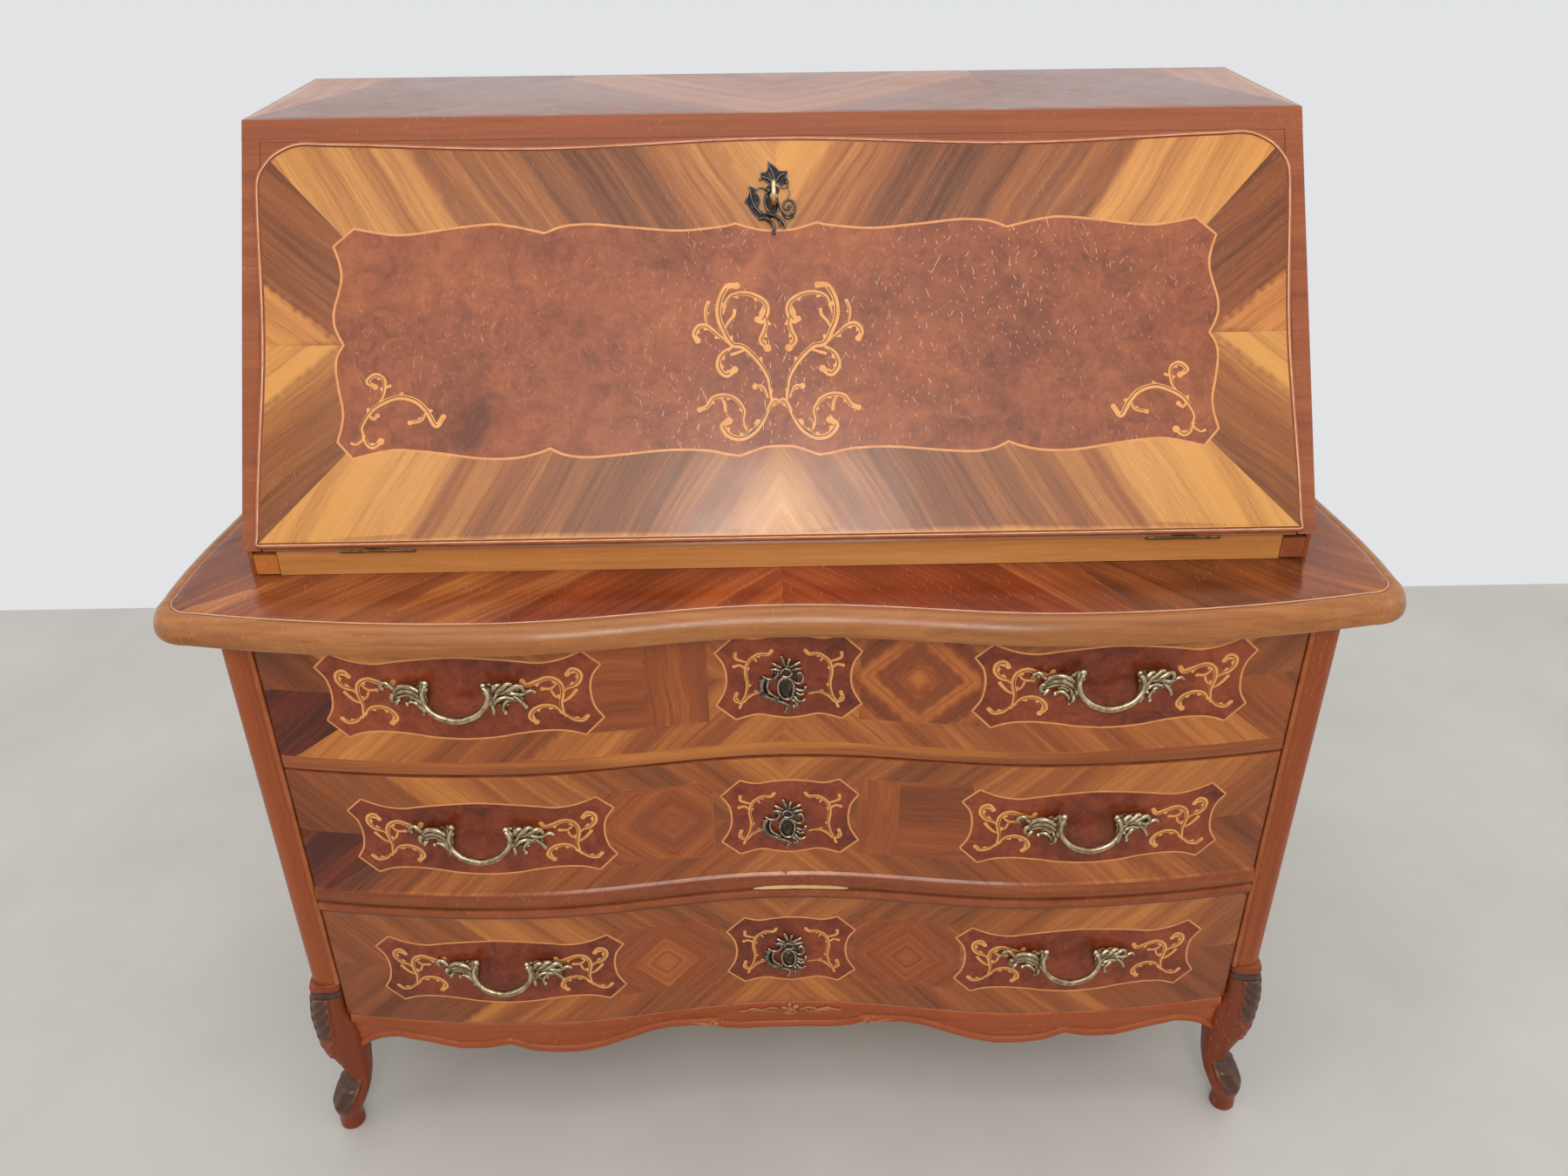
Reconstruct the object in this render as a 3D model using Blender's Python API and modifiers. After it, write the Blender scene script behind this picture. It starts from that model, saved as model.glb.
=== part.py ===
"""Slant-front secretary desk: a serpentine chest of three long drawers on short
cabriole legs, with a writing case above it that a drop flap closes.

Units are metres.  +X is to the right, the front faces -Y and +Z is up.  The
origin lies on the floor, under the middle of the desk's own box.
"""
import math

import bmesh
import bpy
from mathutils import Matrix, Vector

# ---- driving dimensions ------------------------------------------------------
WIDTH = 1.148
DEPTH = 0.561
HEIGHT = 1.0434
GAP = 0.0003                 # between pieces that touch
BACK_Y = DEPTH / 2
PANEL = 0.018                # thickness of the case's boards
BACK_PANEL = 0.008

# chest
BOARD_TOP = 0.675
BOARD_THICK = 0.024
BOARD_UNDER = BOARD_TOP - BOARD_THICK
BOARD_LIP = 0.0245           # how far the board stands in front of the drawers
BOARD_CORNER = 0.040
BOARD_WAIST = 0.018          # how far each end of the board curves in
BOARD_RIM = 0.004
CREST_X = 0.265              # where the serpentine front stands furthest out
CREST_Y = -BACK_Y + BOARD_LIP
HOLLOW = 0.0235              # how far the front curves in at the middle
SHOULDER = 0.0175            # how far it curves in at the posts
OPENING_X = 0.4828           # half the opening between the posts
POST_X = 0.514
POST_FRONT = -0.240
POST_BACK = -0.200
POST_ROUND = 0.014
LEG_TOP = 0.2054
CHEST_SIDE_X = 0.512
CHEST_SIDE = 0.020
CHEST_FLOOR = (0.143, 0.155)
DUST_BOARDS = {"dust_board_lower": (0.3205, 0.3345), "dust_board_upper": (0.4905, 0.5055)}
FRONT_INSIDE = -0.207        # flat inner face of every drawer front
APRON = 0.016
APRON_TOP = 0.1575
APRON_END = 0.4722

# drawers: front's bottom and top, box's bottom and top, lock plate's middle
DRAWERS = {
    "drawer_1": {"front": (0.5015, 0.6495), "box": (0.5085, 0.640), "lock": 0.5846},
    "drawer_2": {"front": (0.3305, 0.4985), "box": (0.3375, 0.488), "lock": 0.4147},
    "drawer_3": {"front": (0.1590, 0.3275), "box": (0.1635, 0.318), "lock": 0.2316},
}
BOX_X = 0.470
BOX_WALL = 0.012
BOX_BACK = 0.235
BOTTOM = 0.005
BOTTOM_RISE = 0.006
HANDLE_X = 0.297
HANDLE_RISE = 0.0205         # handle's middle above the lock plate's middle
LOCK_CASE = (0.070, 0.012, 0.052)

# writing case
CASE_X = 0.500
SLANT_FOOT = Vector((0.0, -0.1719, 0.7019))
SLANT_TOP_Y = 0.0478
SKIRT_X = (0.4920, 0.4968)
SILL = (0.4693, (-0.1700, -0.1540), 0.7006)
BED_TOP = 0.7164
BED_THICK = 0.0189
BED_FRONT = -0.1535          # at its underside; the edge slopes with the flap
SHELF = (0.800, 0.810)
SHELF_FRONT = 0.085
DIVIDER_X = 0.170
DIVIDER = 0.008
LOPER = {"x": (0.4700, 0.4915), "y": (-0.1700, 0.1300), "z": (0.6765, 0.6968)}

# flap, measured in the slant: up the slant is s, out of it is n
FLAP_X = 0.4812
FLAP_LIP_X = 0.490
FLAP_LIP_WAIST = 0.0055      # how far the lip's ends curve in half way up
FLAP_BODY_TOP = 0.347
FLAP_LIP_TOP = 0.3795
FLAP_LIP_WAVE = 0.0035
FLAP_CORNER = 0.036
FLAP_BACK = -0.015
FLAP_FACE = 0.004
FLAP_UNDER_Z = 0.7016
HINGE_AXIS = Vector((0.0, -0.1728, 0.7011))
HINGE_X = 0.375
HINGE_LENGTH = 0.070
LEAF = 0.0013
KNUCKLE = 0.0015
RAIL = (0.350, 0.3838)       # lock rail, from and to along the slant
KEY_X = -0.002
KEY_S = 0.317

WOODS = {
    "walnut_frame": ((0.30, 0.115, 0.040), 0.36),
    "walnut_veneer": ((0.27, 0.100, 0.038), 0.30),
    "walnut_leg": ((0.20, 0.075, 0.030), 0.38),
    "inner_wood": ((0.42, 0.26, 0.13), 0.60),
}
METALS = {
    "antique_brass": ((0.24, 0.18, 0.085), 0.38),
    "bright_brass": ((0.55, 0.42, 0.20), 0.30),
}

# ---- the three frames that outlines are drawn in -------------------------------
SLANT = Vector((0.0, SLANT_TOP_Y, HEIGHT)) - SLANT_FOOT
SLANT_LENGTH = SLANT.length
UP_SLANT = SLANT.normalized()
OUT_OF_SLANT = Vector((1, 0, 0)).cross(UP_SLANT)


def frame_matrix(across, along, out, origin=(0.0, 0.0, 0.0)):
    turned = Matrix((across, along, out)).transposed().to_4x4()
    return Matrix.Translation(origin) @ turned


PLAN = frame_matrix((1, 0, 0), (0, 1, 0), (0, 0, 1))
FRONT = frame_matrix((1, 0, 0), (0, 0, 1), (0, -1, 0))
SIDE = frame_matrix((0, 1, 0), (0, 0, 1), (1, 0, 0))
SLOPE = frame_matrix((1, 0, 0), UP_SLANT, OUT_OF_SLANT, SLANT_FOOT)


# ---- scene set-up --------------------------------------------------------------
for old in list(bpy.data.objects):
    bpy.data.objects.remove(old, do_unlink=True)

desk = bpy.data.collections.new("secretary_desk")
cutters = bpy.data.collections.new("cutters")
bpy.context.scene.collection.children.link(desk)
bpy.context.scene.collection.children.link(cutters)


def material(name):
    colour, rough = {**WOODS, **METALS}[name]
    made = bpy.data.materials.new(name)
    made.use_nodes = True
    shader = made.node_tree.nodes["Principled BSDF"]
    shader.inputs["Base Color"].default_value = (*colour, 1.0)
    shader.inputs["Roughness"].default_value = rough
    shader.inputs["Metallic"].default_value = 1.0 if name in METALS else 0.0
    return made


def place(obj, wood, name):
    """Name the piece, give it a material of its own and put it in the desk."""
    obj.name = name
    obj.data.name = name
    obj.data.materials.clear()
    obj.data.materials.append(material(wood))
    for home in list(obj.users_collection):
        home.objects.unlink(obj)
    desk.objects.link(obj)
    return obj


def apply_scale_and_turn(obj):
    obj.data.transform(obj.matrix_world)
    obj.matrix_world = Matrix.Identity(4)


def cube(low, high, frame=PLAN):
    """Box between two corners of the given frame."""
    bpy.ops.mesh.primitive_cube_add(size=1.0)
    obj = bpy.context.active_object
    low, high = Vector(low), Vector(high)
    size = Matrix.Diagonal((*(high - low), 1.0))
    obj.matrix_world = frame @ Matrix.Translation((low + high) / 2) @ size
    apply_scale_and_turn(obj)
    return obj


def rod(centre, radius, length, frame=PLAN, sides=16):
    """Cylinder along the frame's third axis."""
    bpy.ops.mesh.primitive_cylinder_add(vertices=sides, radius=radius, depth=length)
    obj = bpy.context.active_object
    obj.matrix_world = frame @ Matrix.Translation(centre)
    apply_scale_and_turn(obj)
    return obj


def prism(points, low, high, frame=PLAN, rim=0.0):
    """Flat outline in the frame's first two axes, filled and extruded along its third."""
    curve = bpy.data.curves.new("outline", "CURVE")
    curve.dimensions = "2D"
    curve.fill_mode = "BOTH"
    curve.extrude = (high - low) / 2 - rim
    curve.bevel_depth = rim
    curve.bevel_resolution = 0
    curve.offset = -rim
    spline = curve.splines.new("POLY")
    spline.points.add(len(points) - 1)
    for point, (across, along) in zip(spline.points, points):
        point.co = (across, along, 0.0, 1.0)
    spline.use_cyclic_u = True
    obj = bpy.data.objects.new("outline", curve)
    bpy.context.scene.collection.objects.link(obj)
    obj.matrix_world = frame @ Matrix.Translation((0.0, 0.0, (low + high) / 2))
    return as_mesh(obj)


def as_mesh(obj):
    """Turn a curve into a welded mesh, with its place in its points."""
    bpy.context.view_layer.update()
    found = obj.evaluated_get(bpy.context.evaluated_depsgraph_get())
    mesh = bpy.data.meshes.new_from_object(found)
    made = bpy.data.objects.new(obj.name, mesh)
    bpy.context.scene.collection.objects.link(made)
    made.matrix_world = obj.matrix_world.copy()
    bpy.data.objects.remove(obj, do_unlink=True)
    apply_scale_and_turn(made)
    work = bmesh_of(made)
    bmesh.ops.remove_doubles(work, verts=work.verts, dist=0.00001)
    bmesh.ops.recalc_face_normals(work, faces=work.faces)
    work.to_mesh(made.data)
    work.free()
    return made


def bmesh_of(obj):
    work = bmesh.new()
    work.from_mesh(obj.data)
    return work


def join(body, tool, how):
    """Union, difference or intersection of two meshes, kept as a modifier."""
    step = body.modifiers.new(how.lower(), "BOOLEAN")
    step.operation = how
    step.solver = "EXACT"
    step.object = tool
    for home in list(tool.users_collection):
        home.objects.unlink(tool)
    cutters.objects.link(tool)
    tool.display_type = "WIRE"
    tool.hide_render = True
    return body


def axis_empty(name, at):
    empty = bpy.data.objects.new(name, None)
    empty.location = at
    desk.objects.link(empty)
    return empty


def hang(parts, empty):
    """Parent moving pieces to the empty on their joint's axis, where they are."""
    bpy.context.view_layer.update()
    for obj in parts:
        obj.parent = empty
        obj.matrix_parent_inverse = empty.matrix_world.inverted()


# ---- shared curves -------------------------------------------------------------
def front_y(x):
    """Serpentine face of the drawers at x."""
    reach = abs(x)
    if reach < CREST_X:
        inward = HOLLOW * (1 + math.cos(math.pi * reach / CREST_X)) / 2
    else:
        inward = SHOULDER * ((reach - CREST_X) / (0.48 - CREST_X)) ** 2
    return CREST_Y + inward


def steps(start, end, count):
    return [start + (end - start) * i / count for i in range(count + 1)]


def board_end_x(y):
    """End of the chest's board at y: it curves in between front and back."""
    turn = 2 * math.pi * (y + 0.18) / (BACK_Y + 0.18)
    return WIDTH / 2 - BOARD_WAIST * (1 - math.cos(turn)) / 2


def board_outline():
    corner_x = 0.530
    corner_y = front_y(corner_x) - BOARD_LIP + BOARD_CORNER
    front = [(x, front_y(x) - BOARD_LIP) for x in steps(-corner_x, corner_x, 32)]
    turned = []
    for angle in steps(-75, -15, 4):
        bend = math.radians(angle)
        turned.append((corner_x + BOARD_CORNER * math.cos(bend), corner_y + BOARD_CORNER * math.sin(bend)))
    right = turned + [(board_end_x(y), y) for y in steps(-0.185, BACK_Y, 10)]
    left = [(-x, y) for x, y in reversed(right)]
    return front + right + left


def front_outline(half, inside, count=24):
    """Plan of a drawer front: serpentine face, flat back."""
    face = [(x, front_y(x)) for x in steps(-half, half, count)]
    return face + [(half, inside), (-half, inside)]


def slant_y(z):
    return SLANT_FOOT.y + (z - SLANT_FOOT.z) * SLANT.y / SLANT.z


# ---- chest ---------------------------------------------------------------------
def chest():
    board = prism(board_outline(), BOARD_UNDER, BOARD_TOP, rim=BOARD_RIM)
    place(board, "walnut_frame", "chest_top_board")

    under = BOARD_UNDER - GAP
    for side, name in ((-1, "left"), (1, "right")):
        corner_posts(side, name, under)
        chest_side(side, name, under)
        front_leg(side, name)
        back_leg(side, name)

    inner_x = CHEST_SIDE_X - CHEST_SIDE - GAP
    panel_y = BACK_Y - BACK_PANEL
    back = cube((-inner_x, panel_y, CHEST_FLOOR[0] - 0.003), (inner_x, BACK_Y, under))
    place(back, "inner_wood", "chest_back_panel")
    shelf_y = panel_y - GAP
    floor = cube((-inner_x, -0.190, CHEST_FLOOR[0]), (inner_x, shelf_y, CHEST_FLOOR[1]))
    place(floor, "inner_wood", "chest_bottom_board")
    for name, (low, high) in DUST_BOARDS.items():
        shelf = cube((-inner_x, POST_BACK + GAP, low), (inner_x, shelf_y, high))
        place(shelf, "inner_wood", name)
    apron()


def corner_posts(side, name, top):
    """Upright with a rounded outer corner."""
    centre = (POST_X - POST_ROUND, POST_FRONT + POST_ROUND)
    points = [(OPENING_X, POST_BACK), (OPENING_X, POST_FRONT)]
    for angle in steps(-90, 0, 5):
        bend = math.radians(angle)
        points.append((centre[0] + POST_ROUND * math.cos(bend), centre[1] + POST_ROUND * math.sin(bend)))
    points.append((POST_X, POST_BACK))
    outline = [(side * x, y) for x, y in points]
    place(prism(outline, LEG_TOP + GAP, top), "walnut_frame", "corner_post_" + name)


def chest_side(side, name, top):
    """End panel with a shaped lower edge."""
    front = POST_BACK + GAP
    wave = [(y, 0.124 - 0.006 * math.cos(4 * math.pi * (y - front) / 0.438)) for y in steps(front, 0.238, 12)]
    points = wave + [(0.238, 0.140), (BACK_Y, 0.140), (BACK_Y, top), (front, top)]
    outer = side * CHEST_SIDE_X
    inner = side * (CHEST_SIDE_X - CHEST_SIDE)
    panel = prism(points, min(outer, inner), max(outer, inner), SIDE)
    place(panel, "walnut_veneer", "chest_side_" + name)


# height, middle across, middle in depth, half width, half depth
FRONT_LEG = (
    (LEG_TOP, 0.5000, -0.2217, 0.0168, 0.0213),
    (0.188, 0.5005, -0.2220, 0.0175, 0.0215),
    (0.160, 0.5025, -0.2230, 0.0195, 0.0222),
    (0.136, 0.4985, -0.2235, 0.0235, 0.0228),
    (0.110, 0.4965, -0.2250, 0.0230, 0.0225),
    (0.092, 0.4930, -0.2270, 0.0195, 0.0200),
    (0.076, 0.4890, -0.2300, 0.0155, 0.0165),
    (0.062, 0.4875, -0.2340, 0.0135, 0.0145),
    (0.048, 0.4925, -0.2425, 0.0165, 0.0170),
    (0.035, 0.4990, -0.2495, 0.0180, 0.0180),
    (0.024, 0.5010, -0.2515, 0.0150, 0.0150),
    (0.018, 0.5010, -0.2515, 0.0132, 0.0132),
    (0.0, 0.5010, -0.2515, 0.0138, 0.0138),
)


def front_leg(side, name):
    """Cabriole leg lofted through rounded square sections."""
    sides = 12
    work = bmesh.new()
    rings = []
    for height, across, depth, half_x, half_y in FRONT_LEG:
        ring = []
        for i in range(sides):
            angle = 2 * math.pi * (i + 0.5) / sides
            x, y = math.cos(angle), math.sin(angle)
            fill = (abs(x) ** 3.2 + abs(y) ** 3.2) ** (-1 / 3.2)
            ring.append(work.verts.new((side * (across + half_x * x * fill), depth + half_y * y * fill, height)))
        rings.append(ring)
    for upper, lower in zip(rings, rings[1:]):
        for i in range(sides):
            work.faces.new((upper[i], upper[i - 1], lower[i - 1], lower[i]))
    work.faces.new(rings[0])
    work.faces.new(rings[-1])
    bmesh.ops.recalc_face_normals(work, faces=work.faces)
    mesh = bpy.data.meshes.new("leg")
    work.to_mesh(mesh)
    work.free()
    leg = bpy.data.objects.new("leg", mesh)
    place(leg, "walnut_leg", "leg_front_" + name)


def back_leg(side, name):
    """Plain square leg that tapers on its two inner sides."""
    size, foot = 0.042, 0.028
    low = (side * CHEST_SIDE_X, BACK_Y - size, 0.0)
    high = (side * (CHEST_SIDE_X - size), BACK_Y, 0.140 - GAP)
    leg = cube([min(a, b) for a, b in zip(low, high)], [max(a, b) for a, b in zip(low, high)])
    for vert in leg.data.vertices:
        if vert.co.z < 0.01:
            vert.co.x = side * CHEST_SIDE_X + (vert.co.x - side * CHEST_SIDE_X) * foot / size
            vert.co.y = BACK_Y + (vert.co.y - BACK_Y) * foot / size
    place(leg, "walnut_leg", "leg_back_" + name)


def apron():
    """Curved rail under the drawers with a scalloped lower edge."""
    half = [
        (0.0, 0.1165), (0.050, 0.1175), (0.070, 0.122), (0.083, 0.1285), (0.105, 0.1305),
        (0.128, 0.1335), (0.150, 0.1312), (0.175, 0.1235), (0.200, 0.1155), (0.228, 0.1102),
        (0.255, 0.1106), (0.282, 0.1140), (0.306, 0.1244), (0.333, 0.1172), (0.362, 0.1160),
        (0.395, 0.1235), (0.430, 0.1290), (APRON_END, 0.1200),
    ]
    lower = [(-x, z) for x, z in reversed(half[1:])] + half
    outline = lower + [(APRON_END, APRON_TOP), (-APRON_END, APRON_TOP)]
    rail = prism(outline, -0.15, -CREST_Y + 0.02, FRONT)
    face = [(x, front_y(x) + 0.001) for x in steps(-APRON_END - 0.001, APRON_END + 0.001, 28)]
    rear = [(x, y + APRON) for x, y in reversed(face)]
    bow = prism(face + rear, 0.09, 0.18)
    place(join(rail, bow, "INTERSECT"), "walnut_frame", "front_apron")


# ---- long drawers --------------------------------------------------------------
def long_drawer(name, sizes):
    low, high = sizes["front"]
    half = OPENING_X - 0.0010
    front = prism(front_outline(half, FRONT_INSIDE), low, high)
    pieces = [place(front, "walnut_veneer", name + "_front")]

    floor, rim = sizes["box"]
    start = FRONT_INSIDE + GAP
    box = cube((-BOX_X, start, floor), (BOX_X, BOX_BACK, rim))
    hollow_x = BOX_X - BOX_WALL
    hollow = cube((-hollow_x, start - 0.01, floor - 0.01), (hollow_x, BOX_BACK - BOX_WALL, rim + 0.01))
    pieces.append(place(join(box, hollow, "DIFFERENCE"), "inner_wood", name + "_box"))

    rise = floor + BOTTOM_RISE
    inset = hollow_x - GAP
    bottom = cube((-inset, start, rise), (inset, BOX_BACK - BOX_WALL - GAP, rise + BOTTOM))
    pieces.append(place(bottom, "inner_wood", name + "_bottom"))

    width, thick, tall = LOCK_CASE
    lock = cube((-width / 2, start, rim - tall), (width / 2, start + thick, rim))
    pieces.append(place(lock, "antique_brass", name + "_lock"))

    pieces.append(drawer_plate(name, sizes["lock"]))
    for side, hand in ((-1, "left"), (1, "right")):
        pieces.append(handle(name + "_handle_" + hand, side * HANDLE_X, sizes["lock"] + HANDLE_RISE))
    hang(pieces, axis_empty(name + "_axis", (0.0, FRONT_INSIDE, (low + high) / 2)))


def drawer_plate(name, middle):
    """Keyhole plate with a scalloped round outline."""
    points = []
    for i in range(20):
        angle = 2 * math.pi * i / 20
        radius = 0.0225 + 0.0025 * math.cos(5 * (angle - math.pi / 2))
        points.append((radius * math.cos(angle), middle + radius * math.sin(angle)))
    rear = -front_y(0.025) + GAP
    plate = prism(points, rear, rear + 0.003, FRONT)
    hole = rod((0.0, middle, rear), 0.0028, 0.02, FRONT, 10)
    return place(join(plate, hole, "DIFFERENCE"), "antique_brass", name + "_escutcheon")


# across, up, out from the drawer's face, radius
HANDLE_PATH = (
    (0.0690, -0.0040, 0.0032, 0.0026), (0.0590, -0.0015, 0.0050, 0.0044),
    (0.0480, 0.0030, 0.0066, 0.0060), (0.0370, 0.0055, 0.0078, 0.0062),
    (0.0285, 0.0060, 0.0105, 0.0050), (0.0275, -0.0040, 0.0160, 0.0036),
    (0.0240, -0.0140, 0.0192, 0.0030), (0.0160, -0.0215, 0.0203, 0.0028),
    (0.0060, -0.0250, 0.0205, 0.0030),
)


def handle(name, x, z):
    """One-piece cast handle: two leaf-shaped mounts joined by a bowed grip."""
    half = list(HANDLE_PATH)
    path = [(-across, up, out, size) for across, up, out, size in half] + half[::-1]
    curve = bpy.data.curves.new(name, "CURVE")
    curve.dimensions = "3D"
    curve.bevel_depth = 1.0
    curve.bevel_resolution = 1
    curve.use_fill_caps = True
    spline = curve.splines.new("POLY")
    spline.points.add(len(path) - 1)
    for point, (across, up, out, size) in zip(spline.points, path):
        face = front_y(x + across)
        point.co = (x + across, face - out - GAP, z + up, 1.0)
        point.radius = size
    grip = bpy.data.objects.new(name, curve)
    bpy.context.scene.collection.objects.link(grip)
    return place(as_mesh(grip), "antique_brass", name)


# ---- writing case --------------------------------------------------------------
def writing_case():
    roof = HEIGHT - PANEL
    top = [(slant_y(roof), roof), (SLANT_TOP_Y, HEIGHT), (BACK_Y, HEIGHT), (BACK_Y, roof)]
    place(prism(top, -CASE_X, CASE_X, SIDE), "walnut_veneer", "case_top")

    under = roof - GAP
    for side, name in ((-1, "left"), (1, "right")):
        case_side(side, name, under)

    inner_x = CASE_X - PANEL - GAP
    panel_y = BACK_Y - BACK_PANEL
    back = cube((-inner_x, panel_y, BOARD_TOP + GAP), (inner_x, BACK_Y, under))
    place(back, "inner_wood", "case_back")
    rail_low, rail_high = RAIL
    rail = cube((-inner_x, rail_low, -PANEL), (inner_x, rail_high, 0.0), SLOPE)
    place(rail, "walnut_frame", "lock_rail")

    sill_x, (sill_front, sill_back), sill_top = SILL
    sill = cube((-sill_x, sill_front, BOARD_TOP + GAP), (sill_x, sill_back, sill_top))
    for side in (-1, 1):
        mortise(sill, side, sill_top - LEAF - 2 * GAP, sill_top + 0.01)
    place(sill, "walnut_frame", "flap_sill")

    rear = panel_y - GAP
    under_bed = BED_TOP - BED_THICK
    slope_y = slant_y(BED_TOP) - slant_y(under_bed)
    bed = [(BED_FRONT, under_bed), (rear, under_bed), (rear, BED_TOP), (BED_FRONT + slope_y, BED_TOP)]
    place(prism(bed, -inner_x, inner_x, SIDE), "walnut_veneer", "writing_bed")
    shelf = cube((-inner_x, SHELF_FRONT, SHELF[0]), (inner_x, rear, SHELF[1]))
    place(shelf, "inner_wood", "gallery_shelf")
    for side, name in ((-1, "left"), (1, "right")):
        low_x = side * DIVIDER_X - DIVIDER / 2
        divider = cube((low_x, SHELF_FRONT + 0.012, SHELF[1] + GAP), (low_x + DIVIDER, rear, under))
        place(divider, "inner_wood", "gallery_divider_" + name)
        letter_drawer(side, name)
        loper(side, name)


def case_side(side, name, top):
    """Slanted end board, with a thin skirt that covers the loper."""
    foot = SLANT_FOOT.z
    points = [(SLANT_FOOT.y, foot), (BACK_Y, foot), (BACK_Y, top), (slant_y(top), top)]
    outer, inner = side * CASE_X, side * (CASE_X - PANEL)
    panel = prism(points, min(outer, inner), max(outer, inner), SIDE)
    near, far = sorted((side * SKIRT_X[0], side * SKIRT_X[1]))
    skirt = cube((near, SILL[1][0], BOARD_TOP + GAP), (far, BACK_Y - 0.001, foot + 0.01))
    place(join(panel, skirt, "UNION"), "walnut_veneer", "case_side_" + name)


def letter_drawer(side, name):
    """Small open tray behind the flap, with a turned knob."""
    wall, floor = 0.008, 0.005
    near, far = sorted((side * 0.0015, side * (CASE_X - PANEL - 0.0015)))
    low, high = BED_TOP + 0.001, SHELF[0] - 0.0015
    rear = SHELF_FRONT + 0.170
    tray = cube((near, SHELF_FRONT, low), (far, rear, high))
    hollow = cube((near + wall, SHELF_FRONT + wall, low + floor), (far - wall, rear - wall, high + 0.01))
    place(join(tray, hollow, "DIFFERENCE"), "inner_wood", "letter_drawer_" + name)

    profile = ((0.0, 0.0120), (0.0052, 0.0105), (0.0065, 0.0075), (0.0035, 0.0035), (0.0035, 0.0), (0.0, 0.0))
    mesh = bpy.data.meshes.new("knob")
    mesh.from_pydata([(radius, 0.0, out) for radius, out in profile], [(i, i + 1) for i in range(5)], [])
    knob = bpy.data.objects.new("knob", mesh)
    turn = knob.modifiers.new("turn", "SCREW")
    turn.steps = 12
    turn.render_steps = 12
    turn.use_merge_vertices = True
    turn.merge_threshold = 0.0001
    bpy.context.scene.collection.objects.link(knob)
    middle = (near + far) / 2
    knob.matrix_world = Matrix.Translation((middle, SHELF_FRONT - GAP, (low + high) / 2)) @ FRONT
    place(knob, "antique_brass", "letter_knob_" + name)
    tray_axis = axis_empty("letter_drawer_axis_" + name, (middle, SHELF_FRONT, (low + high) / 2))
    hang([tray, knob], tray_axis)


def loper(side, name):
    """Slide that carries the open flap."""
    near, far = sorted((side * LOPER["x"][0], side * LOPER["x"][1]))
    (front, rear), (low, high) = LOPER["y"], LOPER["z"]
    bar = place(cube((near, front, low), (far, rear, high)), "walnut_leg", "loper_" + name)
    hang([bar], axis_empty("loper_axis_" + name, ((near + far) / 2, front, (low + high) / 2)))


# ---- flap ----------------------------------------------------------------------
def mortise(body, side, low, high):
    """Recess for one hinge leaf."""
    half = HINGE_LENGTH / 2 + GAP
    middle = side * HINGE_X
    cutter = cube((middle - half, HINGE_AXIS.y - 0.01, low), (middle + half, SILL[1][0] + 0.0145, high))
    return join(body, cutter, "DIFFERENCE")


def flap_lip_outline():
    """Gently waved top edge with round corners, and ends that curve in a little."""
    ends = []
    corner_s = FLAP_LIP_TOP - FLAP_CORNER + FLAP_LIP_WAVE
    for s in steps(0.0, corner_s, 8):
        ends.append((FLAP_LIP_X - FLAP_LIP_WAIST * math.sin(math.pi * s / corner_s), s))
    for angle in steps(18, 90, 4):
        bend = math.radians(angle)
        x = FLAP_LIP_X - FLAP_CORNER * (1 - math.cos(bend))
        ends.append((x, corner_s + FLAP_CORNER * math.sin(bend)))
    flat_x = FLAP_LIP_X - FLAP_CORNER
    top = []
    for x in steps(flat_x, -flat_x, 20)[1:-1]:
        top.append((x, FLAP_LIP_TOP + FLAP_LIP_WAVE * math.cos(4 * math.pi * x / (2 * flat_x))))
    return ends + top + [(-x, s) for x, s in reversed(ends)]


def flap():
    body = cube((-FLAP_X, -0.03, FLAP_BACK), (FLAP_X, FLAP_BODY_TOP, FLAP_FACE / 2), SLOPE)
    lip_outline = [(x, s if s > 0 else -0.03) for x, s in flap_lip_outline()]
    join(body, prism(lip_outline, GAP, FLAP_FACE, SLOPE), "UNION")
    below = cube((-0.6, -0.4, FLAP_UNDER_Z - 0.2), (0.6, 0.1, FLAP_UNDER_Z))
    join(body, below, "DIFFERENCE")
    for side in (-1, 1):
        mortise(body, side, FLAP_UNDER_Z - 0.01, FLAP_UNDER_Z + LEAF + 2 * GAP)
    join(body, rod((KEY_X, KEY_S, 0.0), 0.0032, 0.1, SLOPE, 12), "DIFFERENCE")
    pieces = [place(body, "walnut_veneer", "flap_panel")]

    for side, name in ((-1, "left"), (1, "right")):
        middle = side * HINGE_X
        fixed_z = SILL[2] - LEAF - GAP
        place(hinge_leaf(middle, fixed_z, (-1, 1)), "antique_brass", "hinge_fixed_leaf_" + name)
        moving = hinge_leaf(middle, FLAP_UNDER_Z + GAP, (0,))
        pieces.append(place(moving, "antique_brass", "hinge_flap_leaf_" + name))
    pieces.append(flap_plate())
    pieces.append(flap_lock())
    hinge = axis_empty("flap_axis", HINGE_AXIS)
    hang(pieces, hinge)

    bolt = cube((-0.012, 0.326, -0.0245), (0.012, 0.342, -0.0185), SLOPE)
    hang([place(bolt, "bright_brass", "flap_lock_bolt")], hinge)
    hang([key()], axis_empty("key_axis", SLOPE @ Vector((KEY_X, KEY_S, 0.0))))


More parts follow.
